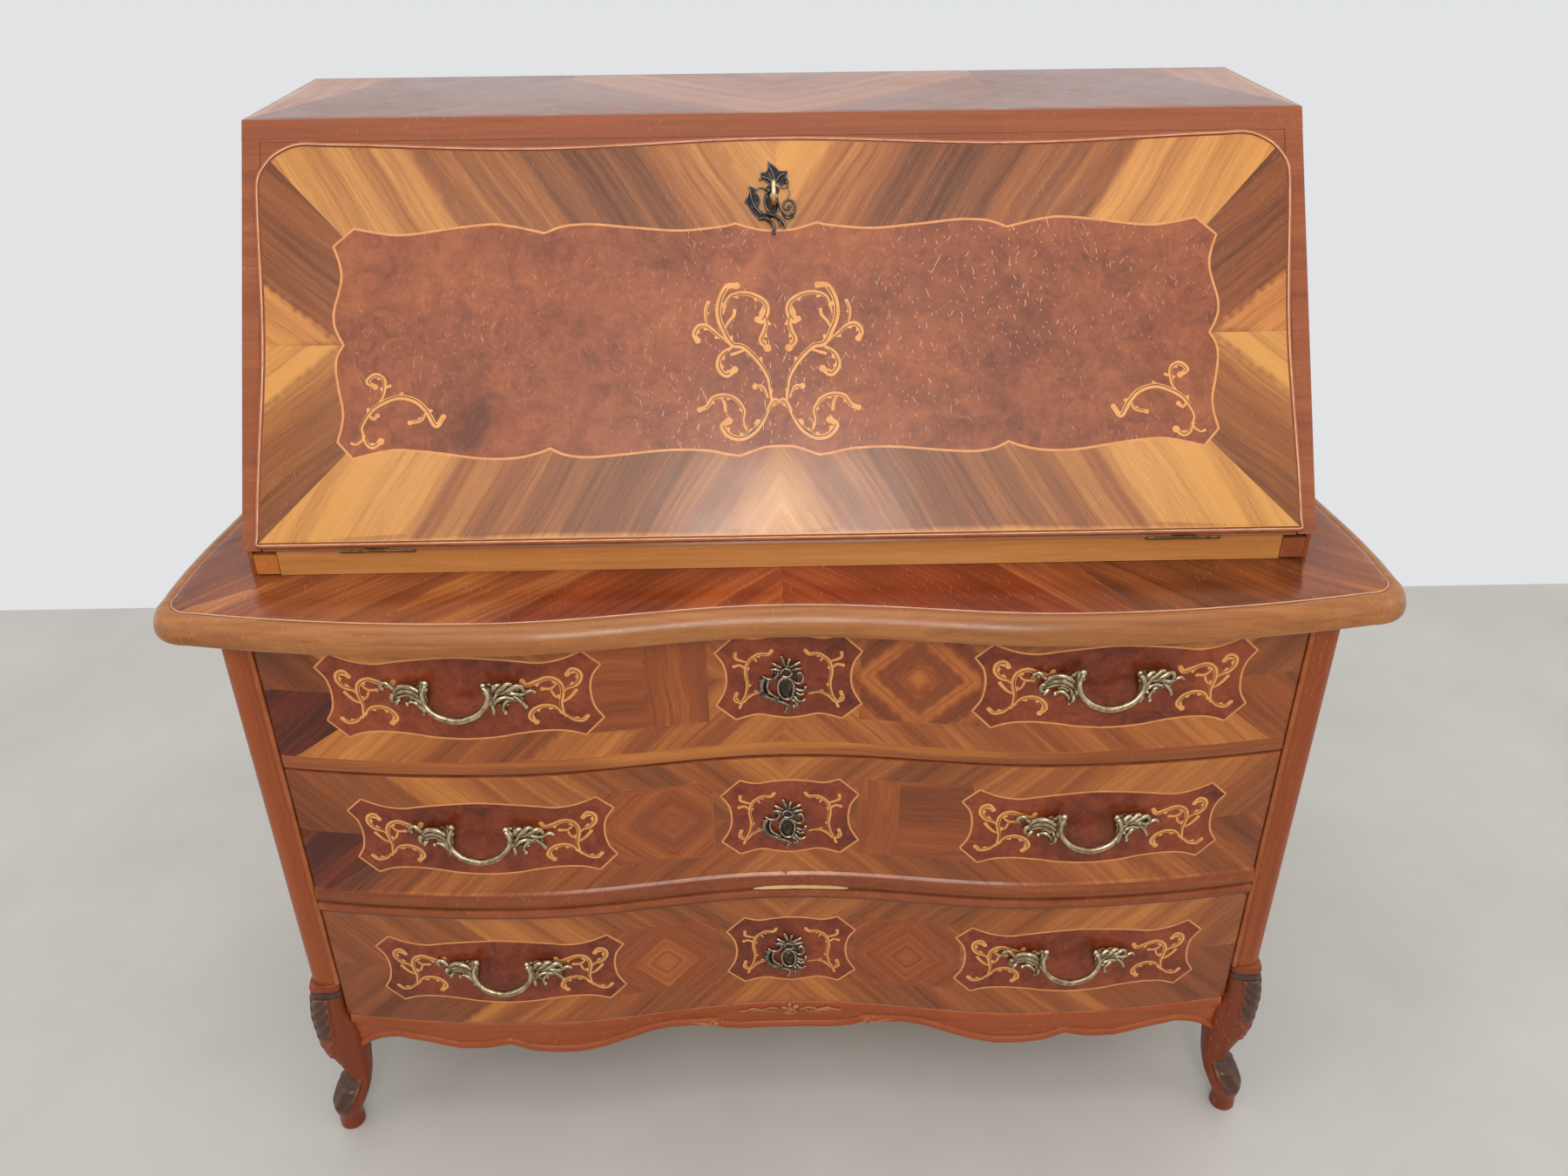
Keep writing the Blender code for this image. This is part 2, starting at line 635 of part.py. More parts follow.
def hinge_leaf(middle, low, knuckles):
    """Thin leaf with its share of the three knuckles; 0 is the middle one."""
    half = HINGE_LENGTH / 2
    third = HINGE_LENGTH / 3
    front = SILL[1][0] + GAP
    leaf = cube((middle - half, front, low), (middle + half, front + 0.0135, low + LEAF))
    for place_in_row in knuckles:
        centre = middle + place_in_row * third
        reach = third / 2 - GAP / 2
        tab = cube((centre - reach, HINGE_AXIS.y, low), (centre + reach, front + 0.001, low + LEAF))
        barrel = rod((HINGE_AXIS.y, HINGE_AXIS.z, centre), KNUCKLE, 2 * reach, SIDE, 12)
        join(leaf, tab, "UNION")
        join(leaf, barrel, "UNION")
    return leaf


def flap_plate():
    """Leaf-shaped keyhole plate on the flap."""
    points = []
    for i in range(24):
        angle = 2 * math.pi * i / 24
        radius = 1.0 + 0.10 * math.cos(5 * (angle - math.pi / 2))
        points.append((-0.003 + 0.0205 * radius * math.cos(angle), 0.3245 + 0.0315 * radius * math.sin(angle)))
    plate = prism(points, FLAP_FACE + GAP, FLAP_FACE + 0.0028, SLOPE)
    hole = rod((KEY_X, KEY_S, FLAP_FACE), 0.0032, 0.02, SLOPE, 12)
    return place(join(plate, hole, "DIFFERENCE"), "antique_brass", "flap_escutcheon")


def flap_lock():
    """Lock case on the flap's inner face, open at the top for its bolt."""
    outer = FLAP_BACK - GAP
    case = cube((-0.035, 0.290, outer - 0.012), (0.035, 0.340, outer), SLOPE)
    join(case, cube((-0.0125, 0.3255, -0.0250), (0.0125, 0.35, -0.0180), SLOPE), "DIFFERENCE")
    join(case, rod((KEY_X, KEY_S, outer - 0.004), 0.0065, 0.0090, SLOPE, 16), "DIFFERENCE")
    return place(case, "antique_brass", "flap_lock_case")


def key():
    """Key: shank, bit inside the lock and an open bow."""
    shank = rod((KEY_X, KEY_S, 0.0045), 0.0022, 0.051, SLOPE, 12)
    bit = cube((KEY_X - 0.001, KEY_S - 0.0055, -0.0205), (KEY_X + 0.001, KEY_S, -0.0165), SLOPE)
    collar = rod((KEY_X, KEY_S, 0.0125), 0.0035, 0.003, SLOPE, 12)
    bpy.ops.mesh.primitive_torus_add(major_radius=0.0085, minor_radius=0.0019, major_segments=20, minor_segments=6)
    bow = bpy.context.active_object
    upright = Matrix.Rotation(math.pi / 2, 4, "X")
    bow.matrix_world = SLOPE @ Matrix.Translation((KEY_X, KEY_S, 0.0375)) @ upright
    apply_scale_and_turn(bow)
    for tool in (bit, collar, bow):
        join(shank, tool, "UNION")
    return place(shank, "bright_brass", "flap_key")


chest()
for drawer, drawer_sizes in DRAWERS.items():
    long_drawer(drawer, drawer_sizes)
writing_case()
flap()
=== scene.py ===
import math
import bpy
import bmesh
import numpy as np
from mathutils import Matrix, Vector
from mathutils.geometry import delaunay_2d_cdt


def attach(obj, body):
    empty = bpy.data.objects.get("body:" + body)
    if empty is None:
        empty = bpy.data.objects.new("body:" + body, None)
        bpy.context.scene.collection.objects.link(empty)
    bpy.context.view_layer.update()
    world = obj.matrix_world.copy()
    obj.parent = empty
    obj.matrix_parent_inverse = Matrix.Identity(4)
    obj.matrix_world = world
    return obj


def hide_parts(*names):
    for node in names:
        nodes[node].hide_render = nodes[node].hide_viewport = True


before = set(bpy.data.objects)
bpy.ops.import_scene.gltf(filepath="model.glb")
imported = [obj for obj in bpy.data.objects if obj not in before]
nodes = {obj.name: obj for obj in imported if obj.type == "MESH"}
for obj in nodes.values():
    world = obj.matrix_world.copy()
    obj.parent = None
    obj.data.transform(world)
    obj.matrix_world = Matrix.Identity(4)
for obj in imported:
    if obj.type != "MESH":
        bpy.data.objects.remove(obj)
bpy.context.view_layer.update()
scene = bpy.context.scene
print("frame loaded", len(nodes), "nodes")


# lines, shapes and meshes

def curveThrough(points, step=0.002, closed=False):
    # smooth line through the given points, sampled about every step
    pts = np.array(points, dtype=float)
    if closed:
        pts = np.vstack([pts[-1], pts, pts[0], pts[1]])
    else:
        pts = np.vstack([2 * pts[0] - pts[1], pts, 2 * pts[-1] - pts[-2]])
    out = []
    for a, b, c, d in zip(pts, pts[1:], pts[2:], pts[3:]):
        count = max(1, int(np.linalg.norm(c - b) / step))
        for t in np.arange(count) / count:
            out.append(0.5 * (2 * b + (c - a) * t + (2 * a - 5 * b + 4 * c - d) * t * t
                              + (3 * b - a - 3 * c + d) * t ** 3))
    if not closed:
        out.append(pts[-2])
    return np.array(out)


def cuspLine(runs, step=0.004):
    # several smooth runs that meet in sharp corners
    parts = [curveThrough(run, step)[:-1] for run in runs]
    return np.vstack(parts + [np.array([runs[-1][-1]])])


def unit(vectors):
    return vectors / np.maximum(np.linalg.norm(vectors, axis=1, keepdims=True), 1e-9)


def rightOf(along):
    return np.column_stack([along[:, 1], -along[:, 0]])


def loopNormals(loop):
    # outward normals of a closed counter-clockwise loop
    return rightOf(unit(unit(loop - np.roll(loop, 1, axis=0)) + unit(np.roll(loop, -1, axis=0) - loop)))


def isInside(points, loop):
    # winding test, so a curl that laps over itself still counts as filled
    low, high = loop.min(axis=0), loop.max(axis=0)
    near = np.where(((points >= low) & (points <= high)).all(axis=1))[0]
    found = np.zeros(len(points), dtype=bool)
    if len(near) == 0:
        return found
    px, py = points[near, 0], points[near, 1]
    turns = np.zeros(len(near), dtype=int)
    for (ax, ay), (bx, by) in zip(loop, np.roll(loop, -1, axis=0)):
        side = (bx - ax) * (py - ay) - (px - ax) * (by - ay)
        turns += ((ay <= py) & (by > py) & (side > 0)).astype(int)
        turns -= ((ay > py) & (by <= py) & (side < 0)).astype(int)
    found[near] = turns != 0
    return found


def makePiece(name, verts, faces, materials, slots=None, smooth=True):
    mesh = bpy.data.meshes.new(name)
    mesh.from_pydata([tuple(v) for v in verts], [], [tuple(int(i) for i in f) for f in faces])
    for material in materials:
        mesh.materials.append(material)
    if slots is not None:
        mesh.polygons.foreach_set("material_index", np.array(slots, dtype=np.int32))
    mesh.polygons.foreach_set("use_smooth", [smooth] * len(mesh.polygons))
    mesh.update()
    piece = bpy.data.objects.new(name, mesh)
    scene.collection.objects.link(piece)
    return piece


def keepCrisp(work, sharpAngle):
    limit = math.radians(sharpAngle)
    for edge in work.edges:
        edge.smooth = not (len(edge.link_faces) == 2 and edge.calc_face_angle() > limit)


def tidyMesh(piece, sharpAngle=None, merge=0.00001):
    # doubles merged, normals outward, and edges over the angle kept crisp
    work = bmesh.new()
    work.from_mesh(piece.data)
    if merge:
        bmesh.ops.remove_doubles(work, verts=work.verts, dist=merge)
    bmesh.ops.recalc_face_normals(work, faces=work.faces)
    if sharpAngle is not None:
        keepCrisp(work, sharpAngle)
    work.to_mesh(piece.data)
    work.free()
    piece.data.update()
    return piece


def loftRings(rings, capped=True):
    # closed rings of equal length skinned one after the other
    size = len(rings[0])
    verts = [tuple(p) for ring in rings for p in ring]
    faces = []
    for r in range(len(rings) - 1):
        for i in range(size):
            j = (i + 1) % size
            faces.append((r * size + i, r * size + j, (r + 1) * size + j, (r + 1) * size + i))
    if capped:
        faces.append(tuple(range(size))[::-1])
        faces.append(tuple((len(rings) - 1) * size + i for i in range(size)))
    return verts, faces


def mergeParts(parts):
    # (verts, faces, slot) lists put together into one mesh
    verts, faces, slots = [], [], []
    for part in parts:
        offset = len(verts)
        verts.extend(tuple(v) for v in part[0])
        faces.extend(tuple(i + offset for i in f) for f in part[1])
        slots.extend([part[2] if len(part) > 2 else 0] * len(part[1]))
    return verts, faces, slots


def tube(path, radii, sides=8):
    # a tapered rod along a path, closed at both ends
    path = np.array(path, dtype=float)
    radii = np.broadcast_to(np.array(radii, dtype=float), (len(path),))
    tangent = unit(np.gradient(path, axis=0))
    side = np.cross(tangent[0], (0.0, 1.0, 0.0))
    if np.linalg.norm(side) < 1e-4:
        side = np.cross(tangent[0], (1.0, 0.0, 0.0))
    rings = []
    for p, t, r in zip(path, tangent, radii):
        side = side - t * np.dot(side, t)
        side /= np.linalg.norm(side)
        other = np.cross(t, side)
        rings.append([p + r * (math.cos(a) * side + math.sin(a) * other)
            for a in np.arange(sides) * 2 * math.pi / sides])
    return loftRings(rings)


def ball(place, segments=12, rows=8, radius=1.0):
    # a little sphere with each of its points passed through place
    work = bmesh.new()
    bmesh.ops.create_uvsphere(work, u_segments=segments, v_segments=rows, radius=radius)
    work.verts.ensure_lookup_table()
    verts = [place(v.co) for v in work.verts]
    faces = [tuple(v.index for v in f.verts) for f in work.faces]
    work.free()
    return verts, faces


def tagCrest(piece, gain=1.0, rounds=2):
    # "crest" is 1 on ridges and edges, 0 in hollows, 0.5 on flat ground
    mesh = piece.data
    count = len(mesh.vertices)
    co = np.empty(count * 3)
    mesh.vertices.foreach_get("co", co)
    co = co.reshape(-1, 3)
    normal = np.empty(count * 3)
    mesh.vertex_normals.foreach_get("vector", normal)
    normal = normal.reshape(-1, 3)
    ends = np.empty(len(mesh.edges) * 2, dtype=np.int64)
    mesh.edges.foreach_get("vertices", ends)
    ends = ends.reshape(-1, 2)
    rise = co[ends[:, 1]] - co[ends[:, 0]]
    length = np.maximum(np.linalg.norm(rise, axis=1), 1e-9)
    total, number = np.zeros(count), np.zeros(count)
    for here, sign in ((0, 1.0), (1, -1.0)):
        lift = -sign * np.einsum("ij,ij->i", normal[ends[:, here]], rise) / length
        np.add.at(total, ends[:, here], lift)
        np.add.at(number, ends[:, here], 1.0)
    bend = total / np.maximum(number, 1)
    for _ in range(rounds):
        around = np.zeros(count)
        np.add.at(around, ends[:, 0], bend[ends[:, 1]])
        np.add.at(around, ends[:, 1], bend[ends[:, 0]])
        bend = 0.5 * bend + 0.5 * around / np.maximum(number, 1)
    crest = np.clip(0.5 + gain * bend, 0, 1)
    layer = mesh.attributes.new("crest", "FLOAT", "POINT")
    layer.data.foreach_set("value", crest.astype(np.float32))


def scrollStroke(points, wide, ball=0.0, start=0.3, end=0.95, step=0.0012):
    # outline of one inlaid scroll stroke: thin tail, full belly, and a round eye at its end
    line, wide = curveThrough(points, step), wide * 1.04
    t = np.linspace(0, 1, len(line))
    width = wide * np.interp(t, [0, 0.12, 0.4, 0.7, 0.92, 1], [start, 0.62, 0.88, 1.0, 1.0, end])
    along = unit(np.gradient(line, axis=0))
    out = rightOf(along)
    shapes = [np.vstack([line + out * width[:, None] / 2, (line - out * width[:, None] / 2)[::-1]])]
    if ball:
        turn = np.arange(14) * 2 * math.pi / 14
        shapes.append(line[-1] + 0.88 * ball * np.column_stack([np.cos(turn), np.sin(turn)]))
    bend = along[:-1, 0] * along[1:, 1] - along[:-1, 1] * along[1:, 0]
    hollow = -1 if bend.sum() > 0 else 1
    if wide > 0.0032:
        # small leaf tips curling off the hollow side
        for share in (0.3, 0.56, 0.8) if len(line) > 22 else (0.5,):
            i = int(share * (len(line) - 1))
            inward, ahead = hollow * out[i], along[i]
            root = line[i] + inward * width[i] * 0.2
            shapes.append(np.array([root - ahead * wide * 0.75, root + inward * wide * 0.42 - ahead * wide * 0.2,
                                    root + inward * wide * 0.86 + ahead * wide * 0.30,
                                    root + inward * wide * 0.62 + ahead * wide * 0.62,
                                    root + inward * wide * 0.30 + ahead * wide * 0.5, root + ahead * wide * 0.7]))
    keep = (t > 0.10) & (t < 0.93)
    thin = wide * 0.10
    engraved = None
    if keep.sum() > 2:
        inner, side = line[keep], out[keep]
        shift = hollow * wide * 0.17
        engraved = np.vstack([inner + side * (shift + thin), (inner + side * (shift - thin))[::-1]])
    return shapes, engraved


def ribbon(loop, width):
    # both edges of a strip along a closed loop
    out = loopNormals(loop) * width / 2
    return loop + out, loop - out


def inlaidSheet(outline, seams, shapes, grid, margin=0.0005):
    # a flat sheet cut along every seam and shape: points, triangles, and the loop round its edge
    scale = 1000.0
    verts, edges = [], []

    def addLine(line, closed):
        first = len(verts)
        verts.extend(Vector((p[0] * scale, p[1] * scale)) for p in line)
        last = len(verts) - 1
        edges.extend((i, i + 1) for i in range(first, last))
        if closed:
            edges.append((last, first))

    addLine(outline, True)
    for seam in seams:
        addLine(seam, False)
    for shape in shapes:
        addLine(shape, True)
    low, high = outline.min(axis=0) + margin, outline.max(axis=0) - margin
    xs = np.linspace(low[0], high[0], int((high[0] - low[0]) / grid) + 1)
    ys = np.linspace(low[1], high[1], int((high[1] - low[1]) / grid) + 1)
    inner = np.array([(x + (j % 2) * grid * 0.37 - grid * 0.18, y) for j, y in enumerate(ys) for x in xs])
    normals = loopNormals(outline)
    inner = inner[isInside(inner, outline - normals * grid * 0.35)]
    verts.extend(Vector((p[0] * scale, p[1] * scale)) for p in inner)
    made = delaunay_2d_cdt(verts, edges, [], 1, 0.02, False)
    points = np.array([tuple(v) for v in made[0]]) / scale
    triangles = np.array([tuple(f) for f in made[2]])
    a, b, c = points[triangles[:, 0]], points[triangles[:, 1]], points[triangles[:, 2]]
    area = (b[:, 0] - a[:, 0]) * (c[:, 1] - a[:, 1]) - (b[:, 1] - a[:, 1]) * (c[:, 0] - a[:, 0])
    flip = area < 0
    triangles[flip] = triangles[flip][:, ::-1]
    triangles = triangles[(np.abs(area) > 1e-13) & isInside((a + b + c) / 3, outline)]
    pairs = {(tri[i], tri[j]): True for tri in triangles for i, j in ((0, 1), (1, 2), (2, 0))}
    follow = {i: j for (i, j) in pairs if (j, i) not in pairs}
    start = next(iter(follow))
    loop, here = [start], follow[start]
    while here != start:
        loop.append(here)
        here = follow[here]
    return points, triangles, loop


def veneeredPiece(name, sheet, surface, walls, materials, slots, uv, marks, wallSlot, backSlot=None, wornHighlightRing=None,
        wornHighlightSlot=0):
    # the inlaid face set on its surface, then wall rings round it and a flat back; one chosen ring may take the pale
    # line of worn arris and painted highlight
    points, triangles, loop = sheet
    verts = [tuple(p) for p in surface(points)]
    faces = [tuple(t) for t in triangles]
    rim = points[loop]
    normals = loopNormals(rim)
    size, ring = len(loop), list(loop)
    slots = list(slots)
    for index, wall in enumerate(walls):
        first = len(verts)
        verts.extend(tuple(p) for p in wall(rim, normals))
        fresh = list(range(first, first + size))
        for i in range(size):
            j = (i + 1) % size
            faces.append((ring[j], ring[i], fresh[i], fresh[j]))
            slots.append(wornHighlightSlot if index == wornHighlightRing else wallSlot)
        ring = fresh
    faces.append(tuple(ring))
    slots.append(wallSlot if backSlot is None else backSlot)
    piece = makePiece(name, verts, faces, materials, slots)
    mesh = piece.data
    layer = mesh.uv_layers.new(name="grain")
    corners = np.zeros((len(mesh.loops), 2))
    flat = triangles.reshape(-1)
    corners[:len(flat)] = uv(points[flat], np.repeat(np.arange(len(triangles)), 3))
    layer.data.foreach_set("uv", corners.reshape(-1).astype(np.float32))
    for mark, values in marks.items():
        tag = mesh.attributes.new(mark, "FLOAT", "CORNER")
        full = np.full(len(mesh.loops), 0.5)
        full[:len(flat)] = values(points[flat], np.repeat(np.arange(len(triangles)), 3))
        tag.data.foreach_set("value", full.astype(np.float32))
    return tidyMesh(piece, 38, merge=0)


def seen(piece, body, slot, *replaced):
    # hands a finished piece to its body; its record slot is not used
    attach(piece, body)
    if replaced:
        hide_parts(*replaced)
    return piece


# shader helpers

def tint(r, g, b):
    # a paint-chart colour (0 to 255) as the linear value a shader wants
    return tuple((c / 12.92 if c <= 0.04045 else ((c + 0.055) / 1.055) ** 2.4)
                 for c in (r / 255, g / 255, b / 255)) + (1.0,)


def put(tree, kind, **values):
    # a new node, set out in rows of eight as they are made
    node = tree.nodes.new(kind)
    row, column = divmod(len(tree.nodes) - 1, 8)
    node.location = (220 * column - 900, 400 - 300 * row)
    for key, value in values.items():
        setattr(node, key, value)
    return node


def wire(tree, source, target):
    tree.links.new(source, target)


def arithmetic(tree, kind, a, b=None, clamp=False):
    node = put(tree, "ShaderNodeMath", operation=kind, use_clamp=clamp)
    for socket, value in ((node.inputs[0], a), (node.inputs[1], b)):
        if isinstance(value, (int, float)):
            socket.default_value = value
        elif value is not None:
            wire(tree, value, socket)
    return node.outputs[0]


def plus(tree, a, b, clamp=False):
    return arithmetic(tree, "ADD", a, b, clamp)


def times(tree, a, b, clamp=False):
    return arithmetic(tree, "MULTIPLY", a, b, clamp)


def less(tree, a, b):
    return arithmetic(tree, "SUBTRACT", a, b)


def blendColour(tree, factor, a, b, kind="MIX"):
    node = put(tree, "ShaderNodeMix", data_type="RGBA", blend_type=kind)
    for socket, value in ((node.inputs[0], factor), (node.inputs[6], a), (node.inputs[7], b)):
        if isinstance(value, (int, float, tuple)):
            socket.default_value = value
        else:
            wire(tree, value, socket)
    return node.outputs[2]


def spread(tree, value, lowIn, highIn, lowOut, highOut):
    node = put(tree, "ShaderNodeMapRange")
    wire(tree, value, node.inputs[0])
    for index, number in zip((1, 2, 3, 4), (lowIn, highIn, lowOut, highOut)):
        node.inputs[index].default_value = number
    return node.outputs[0]


def noise(tree, vector, scale, detail=4.0, rough=0.55, stretch=None, distortion=0.0):
    if stretch is not None:
        mapping = put(tree, "ShaderNodeMapping")
        mapping.inputs["Scale"].default_value = stretch
        wire(tree, vector, mapping.inputs["Vector"])
        vector = mapping.outputs[0]
    node = put(tree, "ShaderNodeTexNoise")
    for label, value in (("Scale", scale), ("Detail", detail), ("Roughness", rough), ("Distortion", distortion)):
        node.inputs[label].default_value = value
    wire(tree, vector, node.inputs["Vector"])
    return node.outputs["Fac"]


def newGroup(name, takes, gives):
    tree = bpy.data.node_groups.new(name, "ShaderNodeTree")
    for label, kind, value in takes:
        socket = tree.interface.new_socket(label, in_out="INPUT", socket_type="NodeSocket" + kind)
        if value is not None:
            socket.default_value = value
    for label, kind in gives:
        tree.interface.new_socket(label, in_out="OUTPUT", socket_type="NodeSocket" + kind)
    return tree, put(tree, "NodeGroupInput").outputs, put(tree, "NodeGroupOutput").inputs


def useGroup(tree, group, **values):
    node = put(tree, "ShaderNodeGroup", node_tree=group)
    for label, value in values.items():
        if isinstance(value, (int, float, tuple)):
            node.inputs[label].default_value = value
        else:
            wire(tree, value, node.inputs[label])
    return node.outputs


def newMaterial(name, **shader):
    material = bpy.data.materials.new(name)
    material.use_nodes = True
    tree = material.node_tree
    tree.nodes.clear()
    output = put(tree, "ShaderNodeOutputMaterial")
    principled = put(tree, "ShaderNodeBsdfPrincipled")
    wire(tree, principled.outputs[0], output.inputs[0])
    for label, value in shader.items():
        principled.inputs[label.replace("_", " ")].default_value = value
    return material, tree, principled.inputs


def bumpInto(tree, shader, height, distance):
    bump = put(tree, "ShaderNodeBump")
    bump.inputs["Distance"].default_value = distance
    bump.inputs["Strength"].default_value = 1.0
    wire(tree, height, bump.inputs["Height"])
    wire(tree, bump.outputs[0], shader["Normal"])


def objectPlace(tree):
    return put(tree, "ShaderNodeTexCoord").outputs["Object"]


def tagged(tree, name):
    # the value a mesh carries under a name
    return put(tree, "ShaderNodeAttribute", attribute_name=name).outputs["Fac"]


def cellsOf(tree, place, scale):
    node = put(tree, "ShaderNodeTexVoronoi")
    node.inputs["Scale"].default_value = scale
    wire(tree, place, node.inputs["Vector"])
    return node.outputs


def split(tree, kind, source):
    # the three parts of a vector or a colour
    node = put(tree, "ShaderNodeSeparate" + kind)
    wire(tree, source, node.inputs[0])
    return node.outputs


# shared effects

def buildFigure():
    # straight walnut figure: fibre runs along X of the coordinate, stripes lie across it
    tree, take, give = newGroup("woodFigure", [
        ("Place", "Vector", None), ("Tone", "Float", 0.5), ("Stripes", "Float", 0.5), ("Fibre", "Float", 0.25),
        ("Dark", "Color", (0, 0, 0, 1)), ("Middle", "Color", (0.3, 0.3, 0.3, 1)), ("Light", "Color", (1, 1, 1, 1))],
        [("Colour", "Color"), ("Height", "Float"), ("Shade", "Float")])
    sway = noise(tree, take["Place"], 6.0, 2, 0.5)
    lean = put(tree, "ShaderNodeCombineXYZ")
    wire(tree, times(tree, less(tree, sway, 0.5), 0.02), lean.inputs[1])
    moved = put(tree, "ShaderNodeVectorMath", operation="ADD")
    wire(tree, take["Place"], moved.inputs[0])
    wire(tree, lean.outputs[0], moved.inputs[1])
    place = moved.outputs[0]
    broad = noise(tree, place, 1.0, 3, 0.6, (1.2, 42, 42))
    medium = noise(tree, place, 1.0, 5, 0.65, (3.5, 170, 170))
    fine = noise(tree, place, 1.0, 3, 0.6, (22, 900, 900))
    pores = noise(tree, place, 1.0, 2, 0.5, (70, 1500, 1500))
    stripe = plus(tree, times(tree, spread(tree, broad, 0.32, 0.68, -0.6, 0.6), 0.6),
                        times(tree, spread(tree, medium, 0.3, 0.7, -0.6, 0.6), 0.55))
    hair = times(tree, less(tree, fine, 0.5), take["Fibre"])
    shade = plus(tree, plus(tree, take["Tone"],
                       times(tree, stripe, take["Stripes"])), hair, clamp=True)
    low = blendColour(tree, spread(tree, shade, 0.0, 0.5, 0, 1), take["Dark"], take["Middle"])
    colour = blendColour(tree, spread(tree, shade, 0.5, 1.0, 0, 1), low, take["Light"])
    poreMask = spread(tree, pores, 0.62, 0.72, 0, 0.22)
    veins = spread(tree, noise(tree, place, 1.0, 3, 0.7, (2.2, 260, 260)), 0.58, 0.66, 0, 1)
    veins = times(tree, veins, spread(tree, broad, 0.44, 0.58, 0.08, 0.9))
    veins = times(tree, veins, spread(tree, shade, 0.35, 0.75, 1.3, 0.25))
    veined = blendColour(tree, times(tree, veins, take["Stripes"], clamp=True), colour, take["Dark"])
    wire(tree, blendColour(tree, poreMask, veined, take["Dark"]), give["Colour"])
    wire(tree, less(tree, times(tree, fine, 0.5), poreMask), give["Height"])
    wire(tree, shade, give["Shade"])
    return tree


def buildBurl():
    # mottled burl with small eyes and blotches
    tree, take, give = newGroup("burlFigure", [
        ("Place", "Vector", None), ("Dark", "Color", (0, 0, 0, 1)), ("Middle", "Color", (0.3, 0.3, 0.3, 1)),
        ("Light", "Color", (1, 1, 1, 1)), ("Contrast", "Float", 1.0)], [("Colour", "Color"), ("Height", "Float")])
    cloud = noise(tree, take["Place"], 9.0, 4, 0.6, distortion=0.4)
    mottle = noise(tree, take["Place"], 42.0, 5, 0.65, distortion=1.2)
    grainy = noise(tree, take["Place"], 260.0, 3, 0.6, distortion=0.6)
    level = plus(tree, spread(tree, cloud, 0.3, 0.7, -0.26, 0.26), spread(tree, mottle, 0.3, 0.7, -0.24, 0.24))
    level = plus(tree, level, spread(tree, grainy, 0.3, 0.7, -0.10, 0.10))
    level = plus(tree, times(tree, level, take["Contrast"]), 0.5, clamp=True)
    low = blendColour(tree, spread(tree, level, 0, 0.5, 0, 1), take["Dark"], take["Middle"])
    colour = blendColour(tree, spread(tree, level, 0.5, 1, 0, 1), low, take["Light"])
    cells = cellsOf(tree, take["Place"], 95.0)
    eye = times(tree, spread(tree, cells["Distance"], 0.0, 0.22, 1, 0),
        spread(tree, cells["Color"], 0.72, 0.80, 0, 0.45))
    wire(tree, blendColour(tree, eye, colour, take["Dark"]), give["Colour"])
    wire(tree, grainy, give["Height"])
    return tree


def dashes(tree, place, scale, long, wide, share):
    # short scratches, one at most in each cell, leaning a little this way and that
    cells = cellsOf(tree, place, scale)
    away = put(tree, "ShaderNodeVectorMath", operation="SUBTRACT")
    wire(tree, place, away.inputs[0])
    wire(tree, cells["Position"], away.inputs[1])
    part = split(tree, "XYZ", away.outputs[0])
    dice = split(tree, "Color", cells["Color"])
    up = plus(tree, times(tree, part[1], 0.54), times(tree, part[2], 0.84))
    lean = times(tree, less(tree, dice[0], 0.5), 1.5)
    across = plus(tree, part[0], times(tree, up, lean))
    thin = spread(tree, arithmetic(tree, "ABSOLUTE", across), wide * 0.4, wide, 1, 0)
    short = spread(tree, arithmetic(tree, "ABSOLUTE", up), long * 0.5, long, 1, 0)
    chosen = spread(tree, dice[1], 1 - share, 1.03 - share, 0, 1)
    return times(tree, times(tree, thin, short), chosen)


# how many cells to a metre, then length, width and share of the cells for each size of scratch
scratchSizes = [(62, 0.0030, 0.00042, 0.45), (118, 0.0013, 0.00038, 0.40), (34, 0.0052, 0.00036, 0.30)]


def buildWear():
    # old shellac: dull clouds, fine rubbing, pale nicks and a few dark dents
    tree, take, give = newGroup("agedShellac", [
        ("Place", "Vector", None), ("Colour", "Color", (0.5, 0.5, 0.5, 1)), ("Gloss", "Float", 0.25),
        ("Nicks", "Float", 0.5), ("NickColour", "Color", tint(214, 164, 128))],
        [("Colour", "Color"), ("Roughness", "Float"), ("Height", "Float")])
    dull = noise(tree, take["Place"], 7.0, 4, 0.6)
    rub = noise(tree, take["Place"], 60.0, 4, 0.7)
    where = spread(tree, noise(tree, take["Place"], 6.0, 3, 0.6), 0.40, 0.62, 0.10, 0.8)
    masks = [dashes(tree, take["Place"], *size) for size in scratchSizes]
    nick = arithmetic(tree, "MAXIMUM", arithmetic(tree, "MAXIMUM", masks[0], masks[1]), masks[2])
    nick = times(tree, times(tree, nick, where), take["Nicks"], clamp=True)
    dent = spread(tree, noise(tree, take["Place"], 46.0, 1, 0.4), 0.79, 0.83, 0, 0.5)
    worn = blendColour(tree, nick, take["Colour"], take["NickColour"])
    wire(tree, blendColour(tree, times(tree, dent, take["Nicks"]), worn, tint(60, 34, 26)), give["Colour"])
    sheen = plus(tree, take["Gloss"], spread(tree, dull, 0.3, 0.7, -0.06, 0.10))
    sheen = plus(tree, sheen, spread(tree, rub, 0.3, 0.7, -0.03, 0.06))
    wire(tree, plus(tree, sheen, times(tree, nick, 0.25), clamp=True), give["Roughness"])
    wire(tree, less(tree, times(tree, rub, 0.3), nick), give["Height"])
    return tree


